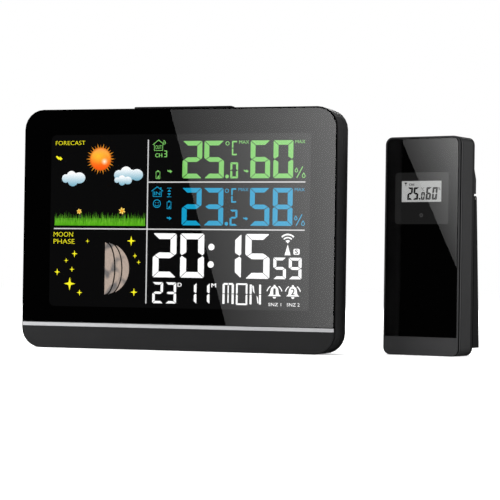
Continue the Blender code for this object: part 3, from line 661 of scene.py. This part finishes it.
def percent_sign(art, x, y, colour):
    """A slash between two water drops."""
    art.stroke([(x + 1.1, y + 5.9), (x + 4.3, y)], 0.5, colour)
    drop_sign(art, x + 0.9, y + 1.9, 1.15, colour)
    drop_sign(art, x + 4.9, y + 4.6, 1.3, colour)


def climate_row(art, top, colour, temperature, tenth, humidity):
    """One row of figures: temperature with its tenth, then humidity."""
    base = top + 20.1
    for sign, x0 in zip(temperature, (92.7, 105.0)):
        art.digit(sign, x0, top, x0 + 11.4, base, colour)
    art.disc(118.1, base - 1.1, 1.0, colour)
    art.digit(tenth, 119.8, base - 8.6, 124.3, base, colour, 0.29, 0.16)
    art.stroke(circle(118.1, top + 1.6, 0.95, 16), 0.36, colour, closed=True)
    for end, middle in ((top + 0.7, top + 3.9), (top + 7.5, top + 4.4)):
        art.stroke([(123.4, end), (121.0, end), (121.0, middle)], 0.8, colour)
    art.text("MAX", 124.6, top + 0.1, 130.2, top + 1.85, colour)
    trend_arrow(art, 127.3, top + 15.3, colour)
    for sign, x0 in zip(humidity, (130.9, 143.6)):
        art.digit(sign, x0, top, x0 + 11.2, base, colour)
    art.text("MAX", 155.7, top + 0.1, 161.2, top + 1.85, colour)
    percent_sign(art, 155.6, top + 13.9, colour)
    trend_arrow(art, 84.2, top + 15.3, colour)


def draw_outdoor(art):
    climate_row(art, 17.2, GREEN, "25", "0", "60")
    house_sign(art, 75.7, 16.7, 6.6, 5.6, "OUT", GREEN)
    for radius in (1.0, 1.8):
        art.stroke(arc(81.2, 18.6, radius, -70, 10, 6), 0.32, GREEN)
    art.text("CH", 77.1, 23.8, 81.2, 25.9, GREEN, bold=0.15)
    art.digit("3", 82.0, 22.3, 84.0, 25.9, GREEN, 0.3, 0.06)
    battery_sign(art, 77.8, 33.0, 2.2, 4.3, GREEN)


def draw_indoor(art):
    climate_row(art, 42.1, BLUE, "23", "2", "58")
    house_sign(art, 75.4, 41.6, 6.5, 5.2, "IN", BLUE)
    art.stroke([(80.7, 41.9), (80.7, 43.2)], 0.5, BLUE)
    face = 78.55
    art.stroke(circle(face, 50.6, 2.05, 22), 0.38, BLUE, closed=True)
    art.stroke(arc(face, 50.7, 1.15, 25, 155, 8), 0.3, BLUE)
    for side in (-0.7, 0.7):
        art.disc(face + side, 50.1, 0.28, BLUE, sides=10)
    art.box(84.3, 42.2, 86.7, 42.5, BLUE)
    art.polygon([(85.5, 43.0), (86.5, 44.2), (84.5, 44.2)], BLUE)
    art.polygon([(85.5, 46.3), (84.5, 45.1), (86.5, 45.1)], BLUE)
    art.box(84.3, 46.8, 86.7, 47.1, BLUE)
    battery_sign(art, 84.4, 49.1, 2.2, 4.2, BLUE)


def radio_tower(art, x, y):
    centre = y + 5.0
    for radius, width in ((4.6, 0.85), (3.0, 0.75)):
        art.stroke(arc(x, centre, radius, -136, -44, 12), width, WHITE)
    art.polygon([(x, centre), *arc(x, centre, 1.75, -135, -45, 6)], WHITE)
    art.polygon([(x, y + 5.5), (x + 1.65, y + 11.2), (x - 1.65, y + 11.2)], WHITE)


def alarm_bell(art, x, y, sign):
    """A ringing bell with its number left dark."""
    dome = [
        (-3.6, 6.0), (-2.5, 4.9), (-2.2, 3.1), *arc(0, 2.9, 2.1, 188, 352, 12),
        (2.2, 3.1), (2.5, 4.9), (3.6, 6.0),
    ]
    clapper = [(-1.0, 6.35), (1.0, 6.35), (0.5, 7.2), (-0.5, 7.2)]
    art.polygon(dome, WHITE, at=(x, y))
    art.polygon(clapper, WHITE, at=(x, y))
    art.disc(x, y + 0.65, 0.6, WHITE, sides=12)
    for start, end in ((193, 238), (-58, -13)):
        art.stroke(arc(x, y + 4.4, 4.2, start, end, 6), 0.55, WHITE)
    half = 0.65 if sign == "1" else 1.05
    art.text(sign, x - half, y + 1.9, x + half, y + 5.3, DARK, 1, bold=0.3)


def starburst_posts(art, x, y, sides, half):
    """The four upright bars of a starburst letter."""
    for side in sides:
        for top, low in ((0.6, 5.5), (5.9, 11.0)):
            art.box(x + side - half, y + top, x + side + half, y + low, WHITE)


def starburst_m(art, x, y):
    starburst_posts(art, x, y, (0.65, 5.75), 0.6)
    for left, top, right, low in (
        (0.6, 0, 3.0, 1.0), (3.4, 0, 5.8, 1.0), (2.85, 1.3, 3.55, 5.5), (2.85, 5.9, 3.55, 10.4),
    ):
        art.box(x + left, y + top, x + right, y + low, WHITE)


def starburst_n(art, x, y):
    starburst_posts(art, x, y, (0.65, 5.85), 0.55)
    for slash in (
        ((1.4, 1.2), (2.2, 1.2), (2.9, 5.3), (2.0, 4.4)),
        ((3.9, 6.4), (4.7, 7.4), (5.1, 10.4), (4.5, 10.4)),
    ):
        art.polygon(slash, WHITE, at=(x, y))


def draw_clock(art):
    top, base = 66.2, 89.9
    for sign, x0 in (("2", 76.5), ("0", 92.2), ("1", 113.0), ("5", 128.8)):
        art.digit(sign, x0, top, x0 + 13.8, base, WHITE)
    for x, y in ((109.9, 73.4), (109.65, 82.6)):
        art.disc(x, y, 1.75, WHITE)
    for sign, x0 in (("5", 144.4), ("9", 152.9)):
        art.digit(sign, x0, 78.4, x0 + 7.3, base, WHITE)
    radio_tower(art, 152.3, 66.1)
    art.polygon(rounded(155.5, 73.9, 158.9, 77.0, 0.6, 3), WHITE)
    art.text("S", 156.3, 74.3, 158.1, 76.6, DARK, 1, bold=0.25)

    top, base = 92.2, 103.7
    for sign, x0 in (("2", 76.6), ("3", 84.1), ("1", 95.6), ("1", 103.0)):
        art.digit(sign, x0, top, x0 + 6.4, base, WHITE)
    art.text("D", 91.1, 92.5, 93.4, 94.6, WHITE, bold=0.15)
    art.text("M", 110.2, 92.5, 112.9, 94.6, WHITE, bold=0.15)
    starburst_m(art, 116.5, top)
    art.digit("0", 124.0, top, 130.5, base, WHITE, 0.17, 0.12)
    starburst_n(art, 131.6, top)
    for x, sign in ((145.4, "1"), (155.5, "2")):
        alarm_bell(art, x, 92.7, sign)
        art.text(f"SNZ {sign}", x - 3.3, 102.2, x + 3.8, 103.9, WHITE)


def draw_rules(art):
    half = 0.31
    art.box(73.1 - half, 16.5, 73.1 + half, 103.8, RULE)
    for left, y in ((73.2, 39.15), (18.7, 64.2)):
        art.box(left, y - half, 161.5, y + half, RULE)


def four_point_star(art, x, y, reach):
    """Long points up and down, slightly shorter ones to the sides."""
    radii = (reach * 0.92, reach * 0.27, reach, reach * 0.27) * 2
    points = [polar(x, y, radius, math.pi / 4 * k) for k, radius in enumerate(radii)]
    art.polygon(points, YELLOW)


STARS = (
    (38.5, 70.9, 1.2), (64.0, 70.6, 2.7), (31.0, 77.8, 1.9), (66.3, 78.6, 1.4),
    (26.1, 81.5, 1.3), (68.5, 82.0, 1.3), (29.6, 86.3, 1.6), (20.9, 87.8, 1.9),
    (28.4, 94.1, 3.6), (34.3, 98.8, 1.8), (66.0, 98.1, 2.2),
)


def mix(a, b, share):
    share = min(max(share, 0), 1)
    return tuple(x + (y - x) * share for x, y in zip(a, b))


def sun_shade(cx, cy, radius):
    """Deep orange below, yellow in the middle, with a pale glint at the lower right."""

    def shade(x, y):
        dx, dy = (x - cx) / radius, (y - cy) / radius
        body = mix((255, 178, 62), (252, 92, 20), 0.42 + 0.75 * dy)
        warm = math.hypot(dx + 0.2, dy + 0.25)
        body = mix((255, 190, 48), body, warm / 0.75)
        body = mix(body, (250, 150, 80), max(0, -dy - 0.35) * 1.2)
        rim = mix(body, (190, 84, 16), (math.hypot(dx, dy) - 0.84) * 4)
        glint = math.hypot(dx - 0.38, dy - 0.22)
        return mix((255, 250, 236), rim, glint / 0.34)

    return shade


def forecast_arrow(art, x, y):
    """A leaning tail that runs into a broad arrow head."""
    shape = [
        (0, 0.25), (1.0, 0.05), (2.0, 0.9), (2.5, 0.85), (2.35, 0.2), (4.0, 1.5),
        (2.75, 2.6), (2.45, 2.0), (1.6, 2.0), (0.8, 1.3),
    ]
    art.polygon(shape, YELLOW, at=(x, y))


def cloud(art, lobes, layer):
    """Overlapping lobes, white above and blue-grey below."""
    high = min(y - ry for _, y, _, ry in lobes)
    low = max(y + ry for _, y, _, ry in lobes)

    def shade(_, y):
        fall = ((y - high) / (low - high)) ** 1.3
        return mix((252, 253, 254), (128, 178, 198), fall * 1.2 - 0.08)

    for x, y, rx, ry in lobes:
        art.disc(x, y, rx, shade, layer, ry=ry, rings=5)


def draw_sun(art):
    """A shaded ball with long and short rays."""
    cx, cy, radius = 45.4, 26.5, 6.2
    foot, half, rays = radius * 0.9, 0.085, 28
    for k in range(rays):
        angle = 2 * math.pi * k / rays
        long = k % 2 == 0
        ray = [
            polar(cx, cy, foot, angle - half),
            polar(cx, cy, radius + (2.3 if long else 1.7), angle),
            polar(cx, cy, foot, angle + half),
        ]
        art.polygon(ray, (214, 136, 36) if long else (170, 96, 24))
    art.disc(cx, cy, radius, sun_shade(cx, cy, radius), 1, rings=14, sides=48)


CLOUDS = (  # lobes of each cloud: centre and half sizes
    (
        (25.0, 37.0, 2.1, 2.3), (28.5, 35.9, 2.9, 3.0), (33.0, 36.7, 3.6, 3.0),
        (29.3, 38.5, 2.9, 2.7),
    ),
    (
        (56.2, 35.2, 2.7, 2.7), (60.4, 33.7, 3.3, 3.1), (66.7, 35.1, 3.5, 3.1),
        (63.6, 35.0, 3.2, 2.7), (61.0, 35.9, 4.6, 2.1),
    ),
    (
        (55.2, 37.9, 1.5, 1.5), (58.1, 37.4, 2.1, 2.1), (61.5, 38.1, 2.3, 2.1),
        (58.2, 39.1, 1.8, 1.7),
    ),
)


def draw_forecast(art):
    art.text("FORECAST", 18.9, 16.6, 36.3, 18.8, YELLOW, thin=0.014)
    forecast_arrow(art, 19.0, 24.7)
    draw_sun(art)
    for lobes, layer in zip(CLOUDS, (1, 1, 2)):
        cloud(art, lobes, layer)
    draw_grass(art)
    for x, y, size in ((33.4, 54.9, 1.55), (58.4, 54.5, 1.95)):
        flower(art, x, y, size)


GRASS_ROWS = (  # blades, height, darkest and lightest colour, from the back row forwards
    (110, 7.0, (40, 96, 10), (84, 150, 40)),
    (110, 5.6, (52, 124, 12), (112, 190, 52)),
    (100, 4.2, (66, 146, 18), (128, 206, 60)),
    (100, 3.0, (74, 158, 20), (110, 196, 44)),
)


def draw_grass(art):
    """Rows of leaning blades, in patches of lighter and darker green."""
    rng = random.Random(7)
    left, right, base = 19.1, 71.7, 62.5
    art.box(left, 58.6, right, base, (58, 134, 14))
    for row, (count, tall, dark, light) in enumerate(GRASS_ROWS):
        for k in range(count):
            x = left + (right - left) * (k + rng.random()) / count
            height = tall * (0.72 + 0.38 * rng.random())
            lean = (rng.random() - 0.5) * 1.6
            half = 0.26 + 0.16 * rng.random()
            patch = 0.5 + noise.noise(Vector((x * 0.55, row * 3.1, 2.0)))
            foot = mix(dark, light, rng.random() * 0.5 * patch)
            head = mix(dark, light, (0.3 + 0.8 * rng.random()) * (0.5 + patch))
            tip = min(max(x + lean, left), right)

            def shade(_, y, foot=foot, head=head, height=height):
                return mix(foot, head, (base - y) / height)

            art.polygon([(x - half, base), (tip, base - height), (x + half, base)], shade, row + 1)


def flower(art, x, y, size):
    """Six petals round an orange heart, on a bent stalk."""
    art.stroke([(x + 0.2, y + 1.0), (x + 0.9, y + 3.4)], 0.22, (96, 110, 92), 1)
    outline = ((0.2, -0.9), (0.75, -0.34), (1.0, 0.0), (0.75, 0.34), (0.2, 0.9))
    for k in range(6):
        angle = 2 * math.pi * k / 6 + 0.3
        petal = [polar(x, y, size * reach, angle + turn) for reach, turn in outline]
        art.polygon(petal, (246, 206, 96), 5)
    art.disc(x, y, size * 0.36, (232, 158, 34), 6, sides=12)


def moon_shade(x, y):
    """Pale grey-brown ground with darker plains."""
    ground = (184, 166, 153)
    field = noise.noise(Vector((x * 0.23, y * 0.20, 4.2)))
    fine = noise.noise(Vector((x * 0.9, y * 0.9, 1.0)))
    colour = mix(ground, (104, 102, 102), (field - 0.02) * 3.2)
    return mix(colour, (140, 128, 120), 0.18 + fine * 0.25)


def half_moon(art, x, y, radius):
    """A half disc in small facets, each with its own shade, and two bent dark lines."""
    bands, sectors = 14, 30
    for k in range(bands):
        inner, outer = radius * k / bands, radius * (k + 1) / bands
        near = arc(x, y, max(inner, 0.05), -90, 90, sectors)
        far = arc(x, y, outer, -90, 90, sectors)
        for i in range(sectors):
            art.polygon([near[i], far[i], far[i + 1], near[i + 1]], moon_shade)
    for start, bulge, width in ((0.5, 5.85, 0.72), (2.8, 9.95, 0.66)):
        lift = math.sqrt(radius**2 - start**2)
        line = []
        for across, along in arc(0, 0, 1, -90, 90, 24):
            line.append((x + start + (bulge - start) * across, y + lift * along))
        art.stroke(line, width, (4, 4, 4), 1)


def draw_moon(art):
    art.text("MOON", 18.5, 66.1, 29.9, 68.6, YELLOW, thin=0.014)
    art.text("PHASE", 18.5, 69.9, 30.9, 72.4, YELLOW, thin=0.014)
    for star in STARS:
        four_point_star(art, *star)
    half_moon(art, 48.9, 85.6, 14.1)


def console_lens_print():
    """The black border printed behind the console's lens, open at the display's window."""
    left = (LENS_LOW.x - CONSOLE_LOW.x) / MM
    right = (LENS_HIGH.x - CONSOLE_LOW.x) / MM
    high = (CONSOLE_HIGH.z - LENS_HIGH.z) / MM
    low = (CONSOLE_HIGH.z - LENS_LOW.z) / MM
    gap, thick = 0.3, 0.1
    outside = rounded(left + gap, high + gap, right - gap, low - 0.1, 10.0, 6)
    inside = rounded(*CONSOLE_WINDOW, CONSOLE_WINDOW_ROUND, 6)
    bm = bmesh.new()
    rows = []
    for outline, z in ((outside, 0), (outside, -thick), (inside, -thick), (inside, 0)):
        rows.append([bm.verts.new((x * MM, -y * MM, z * MM)) for x, y in outline])
    ring_faces(bm, [*rows, rows[0]])
    place = behind(CONSOLE_FACE, CONSOLE_LENS_DEPTH + 0.1)
    add("console_lens_print", bm, print_black(), "console", place)


def console_artwork():
    """The artwork, just in front of the lit panel and seen through the lens."""
    panel_depth = (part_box("console_lcd_panel")[0].y - LENS_LOW.y) / MM - FILM
    refraction = CONSOLE_LENS_DEPTH * (1 - 1 / LENS_IOR)
    plane = behind(CONSOLE_FACE, panel_depth - refraction)
    plane = Matrix.Translation(CONSOLE_IN * refraction * MM) @ plane
    glow = ink("display_ink", 1.24)
    for name, draw, layout in (
        ("display_outdoor", draw_outdoor, FIGURES_LAYOUT),
        ("display_indoor", draw_indoor, FIGURES_LAYOUT),
        ("display_clock", draw_clock, FIGURES_LAYOUT),
        ("display_rules", draw_rules, FIGURES_LAYOUT),
        ("display_forecast", draw_forecast, PICTURES_LAYOUT),
        ("display_moon", draw_moon, PICTURES_LAYOUT),
    ):
        art = Ink(**layout)
        draw(art)
        add(name, art.bm, glow, "console", plane)


def sensor_layer(name, art, material, depth):
    """A piece of artwork, at a depth (mm) behind the back of the sensor's lens."""
    place = behind(SENSOR_FACE, SENSOR_LENS_DEPTH + depth)
    add(name, art.bm, material, "sensor", place)


def sensor_lens_print():
    art = Ink(**SENSOR_LAYOUT)
    art.box(1.5, 1.5, 42.1, 104.9, (4, 4, 4))
    sensor_layer("sensor_lens_print", art, print_black(), 0.25)


def sensor_window():
    art = Ink(**SENSOR_LAYOUT)
    art.polygon(rounded(6.5, 19.0, 37.5, 46.2, 2.0, 5), (30, 30, 30))
    # Its glow is painted light: the smoked window lit as lamps would light it through the lens.
    smoked = glowing("smoked_window", linear(33), 0.8)
    sensor_layer("sensor_window", art, smoked, 0.2)


def sensor_panel_face():
    art = Ink(**SENSOR_LAYOUT)
    art.box(10.4, 23.5, 33.5, 34.5, (190, 190, 190))
    # Its glow is painted light: the reflective display's pale face lit as lamps would light it
    # through the lens.
    pale = glowing("lcd_face", linear((186, 187, 186)), 0.9)
    sensor_layer("sensor_panel_face", art, pale, 0.15)


def sensor_segments():
    """Temperature and humidity, with the aerial, channel and unit signs."""
    art = Ink(**SENSOR_LAYOUT)
    black = (12, 12, 12)
    for sign, x0 in (("2", 13.5), ("5", 16.9), ("6", 24.3), ("0", 27.9)):
        art.digit(sign, x0, 26.8, x0 + 3.0, 33.4, black, 0.38, 0.05, slant=0.09)
    art.disc(20.9, 32.9, 0.5, black, sides=10)
    art.digit("0", 21.6, 29.4, 23.7, 33.4, black, 0.38, 0.05, slant=0.09)
    art.stroke([(12.7, 24.4), (12.7, 26.1)], 0.2, black)
    art.polygon([(11.8, 24.3), (13.6, 24.3), (12.7, 25.4)], black)
    art.text("CH1", 14.6, 24.8, 17.6, 26.0, black, bold=0.15)
    art.text("C", 22.5, 27.0, 23.6, 28.5, black)
    art.disc(21.9, 27.2, 0.22, black, sides=8)
    art.text("%", 31.7, 26.9, 33.0, 28.5, black)
    # The dark segments glow faintly in their own grey: painted light, like the panel behind them.
    sensor_layer("sensor_segments", art, ink("sensor_ink", 0.9), 0.12)


def sensor_indicator():
    art = Ink(**SENSOR_LAYOUT)
    # The indicator is off; its grey glow is painted light.
    art.disc(22.0, 41.5, 1.05, (72, 72, 72), rings=3)
    art.disc(22.0, 41.5, 0.6, (54, 54, 54), 1)
    sensor_layer("sensor_indicator", art, ink("indicator", 0.8), 0.12)


def displays():
    console_lens_print()
    console_artwork()
    sensor_lens_print()
    sensor_window()
    sensor_panel_face()
    sensor_segments()
    sensor_indicator()


# Back


KEYS = {
    "set_button": "SET", "up_button": "UP", "down_button": "DOWN", "alarm_button": "ALARM",
    "channel_button": "CH",
}


def back_lettering():
    """Words beside the keys and the socket, printed on the back."""
    corner = Vector((CONSOLE_HIGH.x, CONSOLE_BACK, CONSOLE_HIGH.z))
    face = face_matrix(corner, -CONSOLE_IN)
    grey = (150, 150, 150)
    art = Ink()
    for key, words in KEYS.items():
        low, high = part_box(key)
        x = (CONSOLE_HIGH.x - high.x) / MM - 1.6
        y = (CONSOLE_HIGH.z - (low.z + high.z) / 2) / MM
        art.text(words, x - 1.55 * len(words), y - 0.9, x, y + 0.9, grey)
    low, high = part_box("dc_jack")
    x = (CONSOLE_HIGH.x - (low.x + high.x) / 2) / MM
    y = (CONSOLE_HIGH.z - low.z) / MM + 2.0
    art.text("DC 5 V", x - 5.5, y, x + 5.5, y + 2.2, grey)
    add("back_lettering", art.bm, print_and_painted_shade("back_print"), "console", face)


def screw_cross_shade(name, screws, body, outward):
    """Painted shade: dark crosses on the screw heads, standing for the shade in their cross
    recesses.
    """
    face = None
    art = Ink()
    for screw in screws:
        reach = reach_of(screw, outward)[1]
        spots = [v.co for v in NODES[screw].data.vertices]
        head = [p for p in spots if p.dot(outward) > reach - 0.1 * MM]
        centre = sum(head, Vector()) / len(head)
        if face is None:
            face = face_matrix(centre, -outward)
        place = face.inverted() @ centre
        x, y = place.x / MM, -place.y / MM
        for across, down in ((1.4, 0.27), (0.27, 1.4)):
            art.box(x - across, y - down, x + across, y + down, (12, 12, 12))
    add(name, art.bm, print_and_painted_shade(f"{name}_dark"), body, face)


def ridges(name, node, outward, rows, width, pitch, from_top, finish):
    """Grip ridges across a battery door, near its upper edge. Measures are in millimetres."""
    side = outward.cross(UP)
    top = face_middle(node, outward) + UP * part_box(node)[1].z
    half = 0.4
    bm = bmesh.new()
    for row in range(rows):
        centre = top - UP * (from_top + pitch * row) * MM
        loops = []
        for share, height in ((1.0, -0.1), (0.8, 0.25), (0.35, 0.4)):
            edge = width / 2 - half * (1 - share)
            rise = half * share
            loop = []
            for x, y in ((-edge, -rise), (edge, -rise), (edge, rise), (-edge, rise)):
                spot = centre + (side * x + outward * height + UP * y) * MM
                loop.append(bm.verts.new(spot))
            loops.append(loop)
        bm.faces.new(loops[0])
        bm.faces.new(loops[-1])
        ring_faces(bm, loops)
    add(name, bm, finish, node)


def back_details(black, grey):
    back_lettering()
    screw_cross_shade("case_screw_crosses", numbered("case_screw", 4), "console", CONSOLE_IN)
    screw_cross_shade("sensor_screw_crosses", numbered("sensor_screw", 2), "sensor", SENSOR_IN)
    ridges(
        "console_door_ridges", "console_battery_door", CONSOLE_IN,
        rows=4, width=16, pitch=1.6, from_top=4, finish=black,
    )
    ridges(
        "sensor_door_ridges", "sensor_battery_door", SENSOR_IN,
        rows=5, width=12, pitch=1.7, from_top=5, finish=grey,
    )


# Studio


def hide_from(made, *rays):
    for ray in rays:
        setattr(made, f"visible_{ray}", False)


def blend(values, u, v):
    """Between the values at four corners, taken in turn; u runs along the first side."""
    near = values[0] + (values[1] - values[0]) * u
    far = values[3] + (values[2] - values[3]) * u
    return near + (far - near) * v


def card(name, face, outline, shades, reach):
    """A glowing card that only mirrors see: it lies where the camera, reflected in a face, looks.
    outline holds four points of the face, in millimetres, and shades the grey seen at each."""
    inward = -face.to_3x3().col[2]
    mirrored = EYE - 2 * (EYE - face.translation).dot(inward) * inward
    across, down = zip(*outline)
    shares = [k / CARD_STEPS for k in range(CARD_STEPS + 1)]
    bm = bmesh.new()
    tint = bm.verts.layers.float_color.new("ink")
    rows = []
    for u in shares:
        row = []
        for v in shares:
            x, y, grey = (blend(corners, u, v) for corners in (across, down, shades))
            point = face @ Vector((x * MM, -y * MM, 0))
            vertex = bm.verts.new(mirrored + (point - mirrored) * reach)
            vertex[tint] = (*linear(grey), 1)
            row.append(vertex)
        rows.append(row)
    for near, far in zip(rows, rows[1:]):
        for i in range(CARD_STEPS):
            bm.faces.new((near[i], near[i + 1], far[i + 1], far[i]))
    made = new_object(name, mesh_of(bm, name))
    made.data.materials.append(ink(name, CARD_GLOW))
    hide_from(made, "camera", "diffuse", "transmission", "shadow", "volume_scatter")


def sheen(name, face, left, right, span, shades, window, lift):
    """A card seen in a lens, and a lighter one in front of it over the display's window (its top,
    right and bottom edges). Measures are on the face, in millimetres; left holds the x of the
    slanting left edge at the top and at the bottom of the span."""
    top, low = span

    def left_at(y):
        return left[0] + (left[1] - left[0]) * (y - top) / (low - top)

    def shade_at(x, y):
        across = (x - left_at(y)) / (right - left_at(y))
        return blend(shades, across, (y - top) / (low - top))

    outline = [(left[0], top), (right, top), (right, low), (left[1], low)]
    card(name, face, outline, shades, CARD_REACH)
    high, side, deep = window
    glass = [(left_at(high), high), (side, high), (side, deep), (left_at(deep), deep)]
    lighter = [shade_at(*spot) + lift for spot in glass]
    card(f"{name}_window", face, glass, lighter, WINDOW_CARD_REACH)


def area_light(name, place, target, size, power, glossy=True):
    data = bpy.data.lights.new(name, "AREA")
    data.shape = "RECTANGLE"
    data.size, data.size_y = size
    data.energy = power
    light = new_object(name, data)
    light.location = place
    light.rotation_euler = (Vector(target) - Vector(place)).to_track_quat("-Z", "Y").to_euler()
    light.visible_glossy = glossy
    hide_from(light, "camera", "transmission")


def surroundings():
    """White to the camera, nearly black in mirrors and through the lenses, and soft to the rest."""
    world = bpy.data.worlds.new("studio")
    bpy.context.scene.world = world
    world.use_nodes = True
    net = Network(world.node_tree)
    background = net.tree.nodes["Background"].inputs
    background["Color"].default_value = (1, 1, 1, 1)
    path = net.node("ShaderNodeLightPath").outputs
    mirrored = net.node("ShaderNodeMath", operation="MAXIMUM")
    net.link(path["Is Glossy Ray"], mirrored.inputs[0])
    net.link(path["Is Transmission Ray"], mirrored.inputs[1])
    seen = net.node("ShaderNodeMix", B=1.0)
    net.link(path["Is Camera Ray"], seen.inputs["Factor"])
    net.link(net.ranged(mirrored.outputs["Value"], 0.85, 0.004), seen.inputs["A"])
    net.link(seen.outputs["Result"], background["Strength"])


def paper_floor():
    mesh = bpy.data.meshes.new("floor")
    reach = 5.0
    corners = [(-reach, -reach, 0), (reach, -reach, 0), (reach, reach, 0), (-reach, reach, 0)]
    mesh.from_pydata(corners, [], [(0, 1, 2, 3)])
    floor = new_object("floor", mesh)
    paper = Shader("paper", (0.92, 0.92, 0.92), 0.9)
    paper.vary_colour(paper.noise(3), 0.01)
    paper.set("Emission Color", (1, 1, 1, 1))
    paper.set("Emission Strength", 0.3)
    mesh.materials.append(paper.material)
    hide_from(floor, "glossy", "transmission")


def lights():
    middle = (0.03, 0.02, 0.06)
    area_light("key", (-0.2, -0.7, 1.3), middle, (0.9, 0.6), 5, glossy=False)
    area_light("left", (-0.36, -0.3, 0.2), (-0.08, 0, 0.01), (0.25, 0.25), 2.6, glossy=False)
    area_light("side", (1.2, 0.35, 0.45), middle, (0.5, 0.8), 9)
    area_light("back", (-0.4, 1.2, 0.9), middle, (0.9, 0.5), 18)


def sheens():
    sheen(
        "console_sheen", CONSOLE_FACE, (84.0, 119.2), 184, (-2.0, 119), (48, 108, 91, 48),
        CONSOLE_WINDOW[1:], 8,
    )
    sheen(
        "sensor_sheen", SENSOR_FACE, (8.4, 45.9), 46, (-0.5, 75.4), (49, 113, 55, 50),
        (19.0, 37.7, 46.4), 11,
    )


def plain_colours():
    view = bpy.context.scene.view_settings
    view.view_transform = "Standard"
    view.look = "None"
    view.exposure = 0.0
    view.gamma = 1.0


def studio():
    surroundings()
    paper_floor()
    lights()
    sheens()
    plain_colours()


# Finishes of the CAD nodes

# Bands of painted light and shade: the depth (mm) where each starts, and its grey
# Console front: the chin's grey, then a painted dark line of shade beside the lens, then painted
# highlights and streaks of painted shade along the sides
CONSOLE_FRONT_PAINTED_LIGHT = (
    (0, 0.0145), (0.13, 0.0003), (1.7, 0.027), (2.5, 0.011), (3.3, 0.026), (4.3, 0.018),
    (9.0, 0.019),
)
# Console back: darker towards the back, with a painted dark line of shade at its back edge
CONSOLE_BACK_PAINTED_SHADE = ((0, 0.017), (15.0, 0.014), (20.5, 0.003), (21.5, 0.014))
# Sensor: the rim's grey, a painted dark line of shade in the groove, a painted highlight on the
# edge behind it, the sides, then painted shade towards the back edge
SENSOR_PAINTED_LIGHT = (
    (0, 0.031), (0.32, 0.0003), (2.0, 0.037), (3.2, 0.0172), (14.9, 0.0028), (17.7, 0.012),
)


def numbered(name, count):
    return [f"{name}_{k}" for k in range(1, count + 1)]


def outer_finishes():
    """Cases, keys, stands, lenses and trim; gives back the console's and the sensor's plastic."""
    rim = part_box("console_trim_strip")[0].z
    # The cases' plastic carries painted light: bands of painted shade and highlight along their
    # depth.
    front = banded_painted_light("case_front", CONSOLE_IN, LENS_LOW.y, CONSOLE_FRONT_PAINTED_LIGHT, rim_above=rim)
    dress(front, "console_front_case")
    dress(banded_painted_light("case_back", CONSOLE_IN, LENS_LOW.y, CONSOLE_BACK_PAINTED_SHADE), "console_rear_cover")
    black = moulded("case_black", (0.009, 0.009, 0.0092), 0.55, shine=0.2)
    dress(black, "console_battery_door", "snooze_bar", "kickstand", *KEYS)
    shell_front = reach_of("sensor_front_shell", SENSOR_IN)[0]
    # The sensor's grey carries painted light too: shade in its groove and towards its back edge,
    # and a highlight.
    grey = banded_painted_light("sensor_grey", SENSOR_IN, shell_front, SENSOR_PAINTED_LIGHT)
    dress(grey, "sensor_front_shell", "sensor_rear_shell", "sensor_battery_door")
    dress(moulded("stand_black", (0.0024, 0.0024, 0.0025), 0.6, shine=0.15), "sensor_stand")
    dress(clear_lens("lens_clear"), "console_lens", "sensor_lens")
    silver = metal("trim_silver", (0.4, 0.4, 0.41), 0.4, (0.05, 1, 1), metallic=0.25)
    dress(silver, "console_trim_strip")
    return black, grey


def inner_finishes():
    """What is inside, and the small metal parts."""
    dress(
        moulded("part_black", (0.012, 0.012, 0.012), 0.55),
        "alarm_buzzer", "snooze_switch", "dc_jack", "channel_switch", "transmit_button",
    )
    dress(
        metal("steel", (0.55, 0.54, 0.52), 0.3),
        "cell_contact_left", "cell_contact_right", "kickstand_pin", "sensor_stand_pin",
        "sensor_contact_bottom", "sensor_contact_top", *numbered("cell_spring", 3),
        *numbered("sensor_spring", 2), *numbered("case_screw", 4), *numbered("sensor_screw", 2),
    )
    copper = metal("copper", (0.6, 0.26, 0.12), 0.35, scale=4000)
    dress(copper, "clock_antenna_coil", "sensor_antenna")
    dress(moulded("ferrite", (0.05, 0.05, 0.055), 0.6), "clock_antenna_rod")
    dress(glowing("lcd_black", (0.0042, 0.0042, 0.0044), 0.75), "console_lcd_panel")
    dress(glowing("lcd_grey", (0.45, 0.46, 0.45), 0.0), "sensor_lcd_panel")
    dress(moulded("milky", (0.8, 0.8, 0.78), 0.3), "console_light_guide", "sensor_light_pipe")
    white = moulded("white_part", (0.75, 0.75, 0.72), 0.45)
    dress(white, "climate_probe", "sensor_climate_probe")
    dress(circuit_board(), "console_main_board", "radio_receiver", "button_board", "sensor_board")
    dress(moulded("rubber", (0.015, 0.015, 0.015), 0.8), "lcd_connector_strip")
    dress(cell_sleeve("X"), *numbered("cell", 3))
    dress(cell_sleeve("Z"), *numbered("sensor_cell", 2))


make_camera()
studio()
black, grey = outer_finishes()
inner_finishes()
displays()
back_details(black, grey)
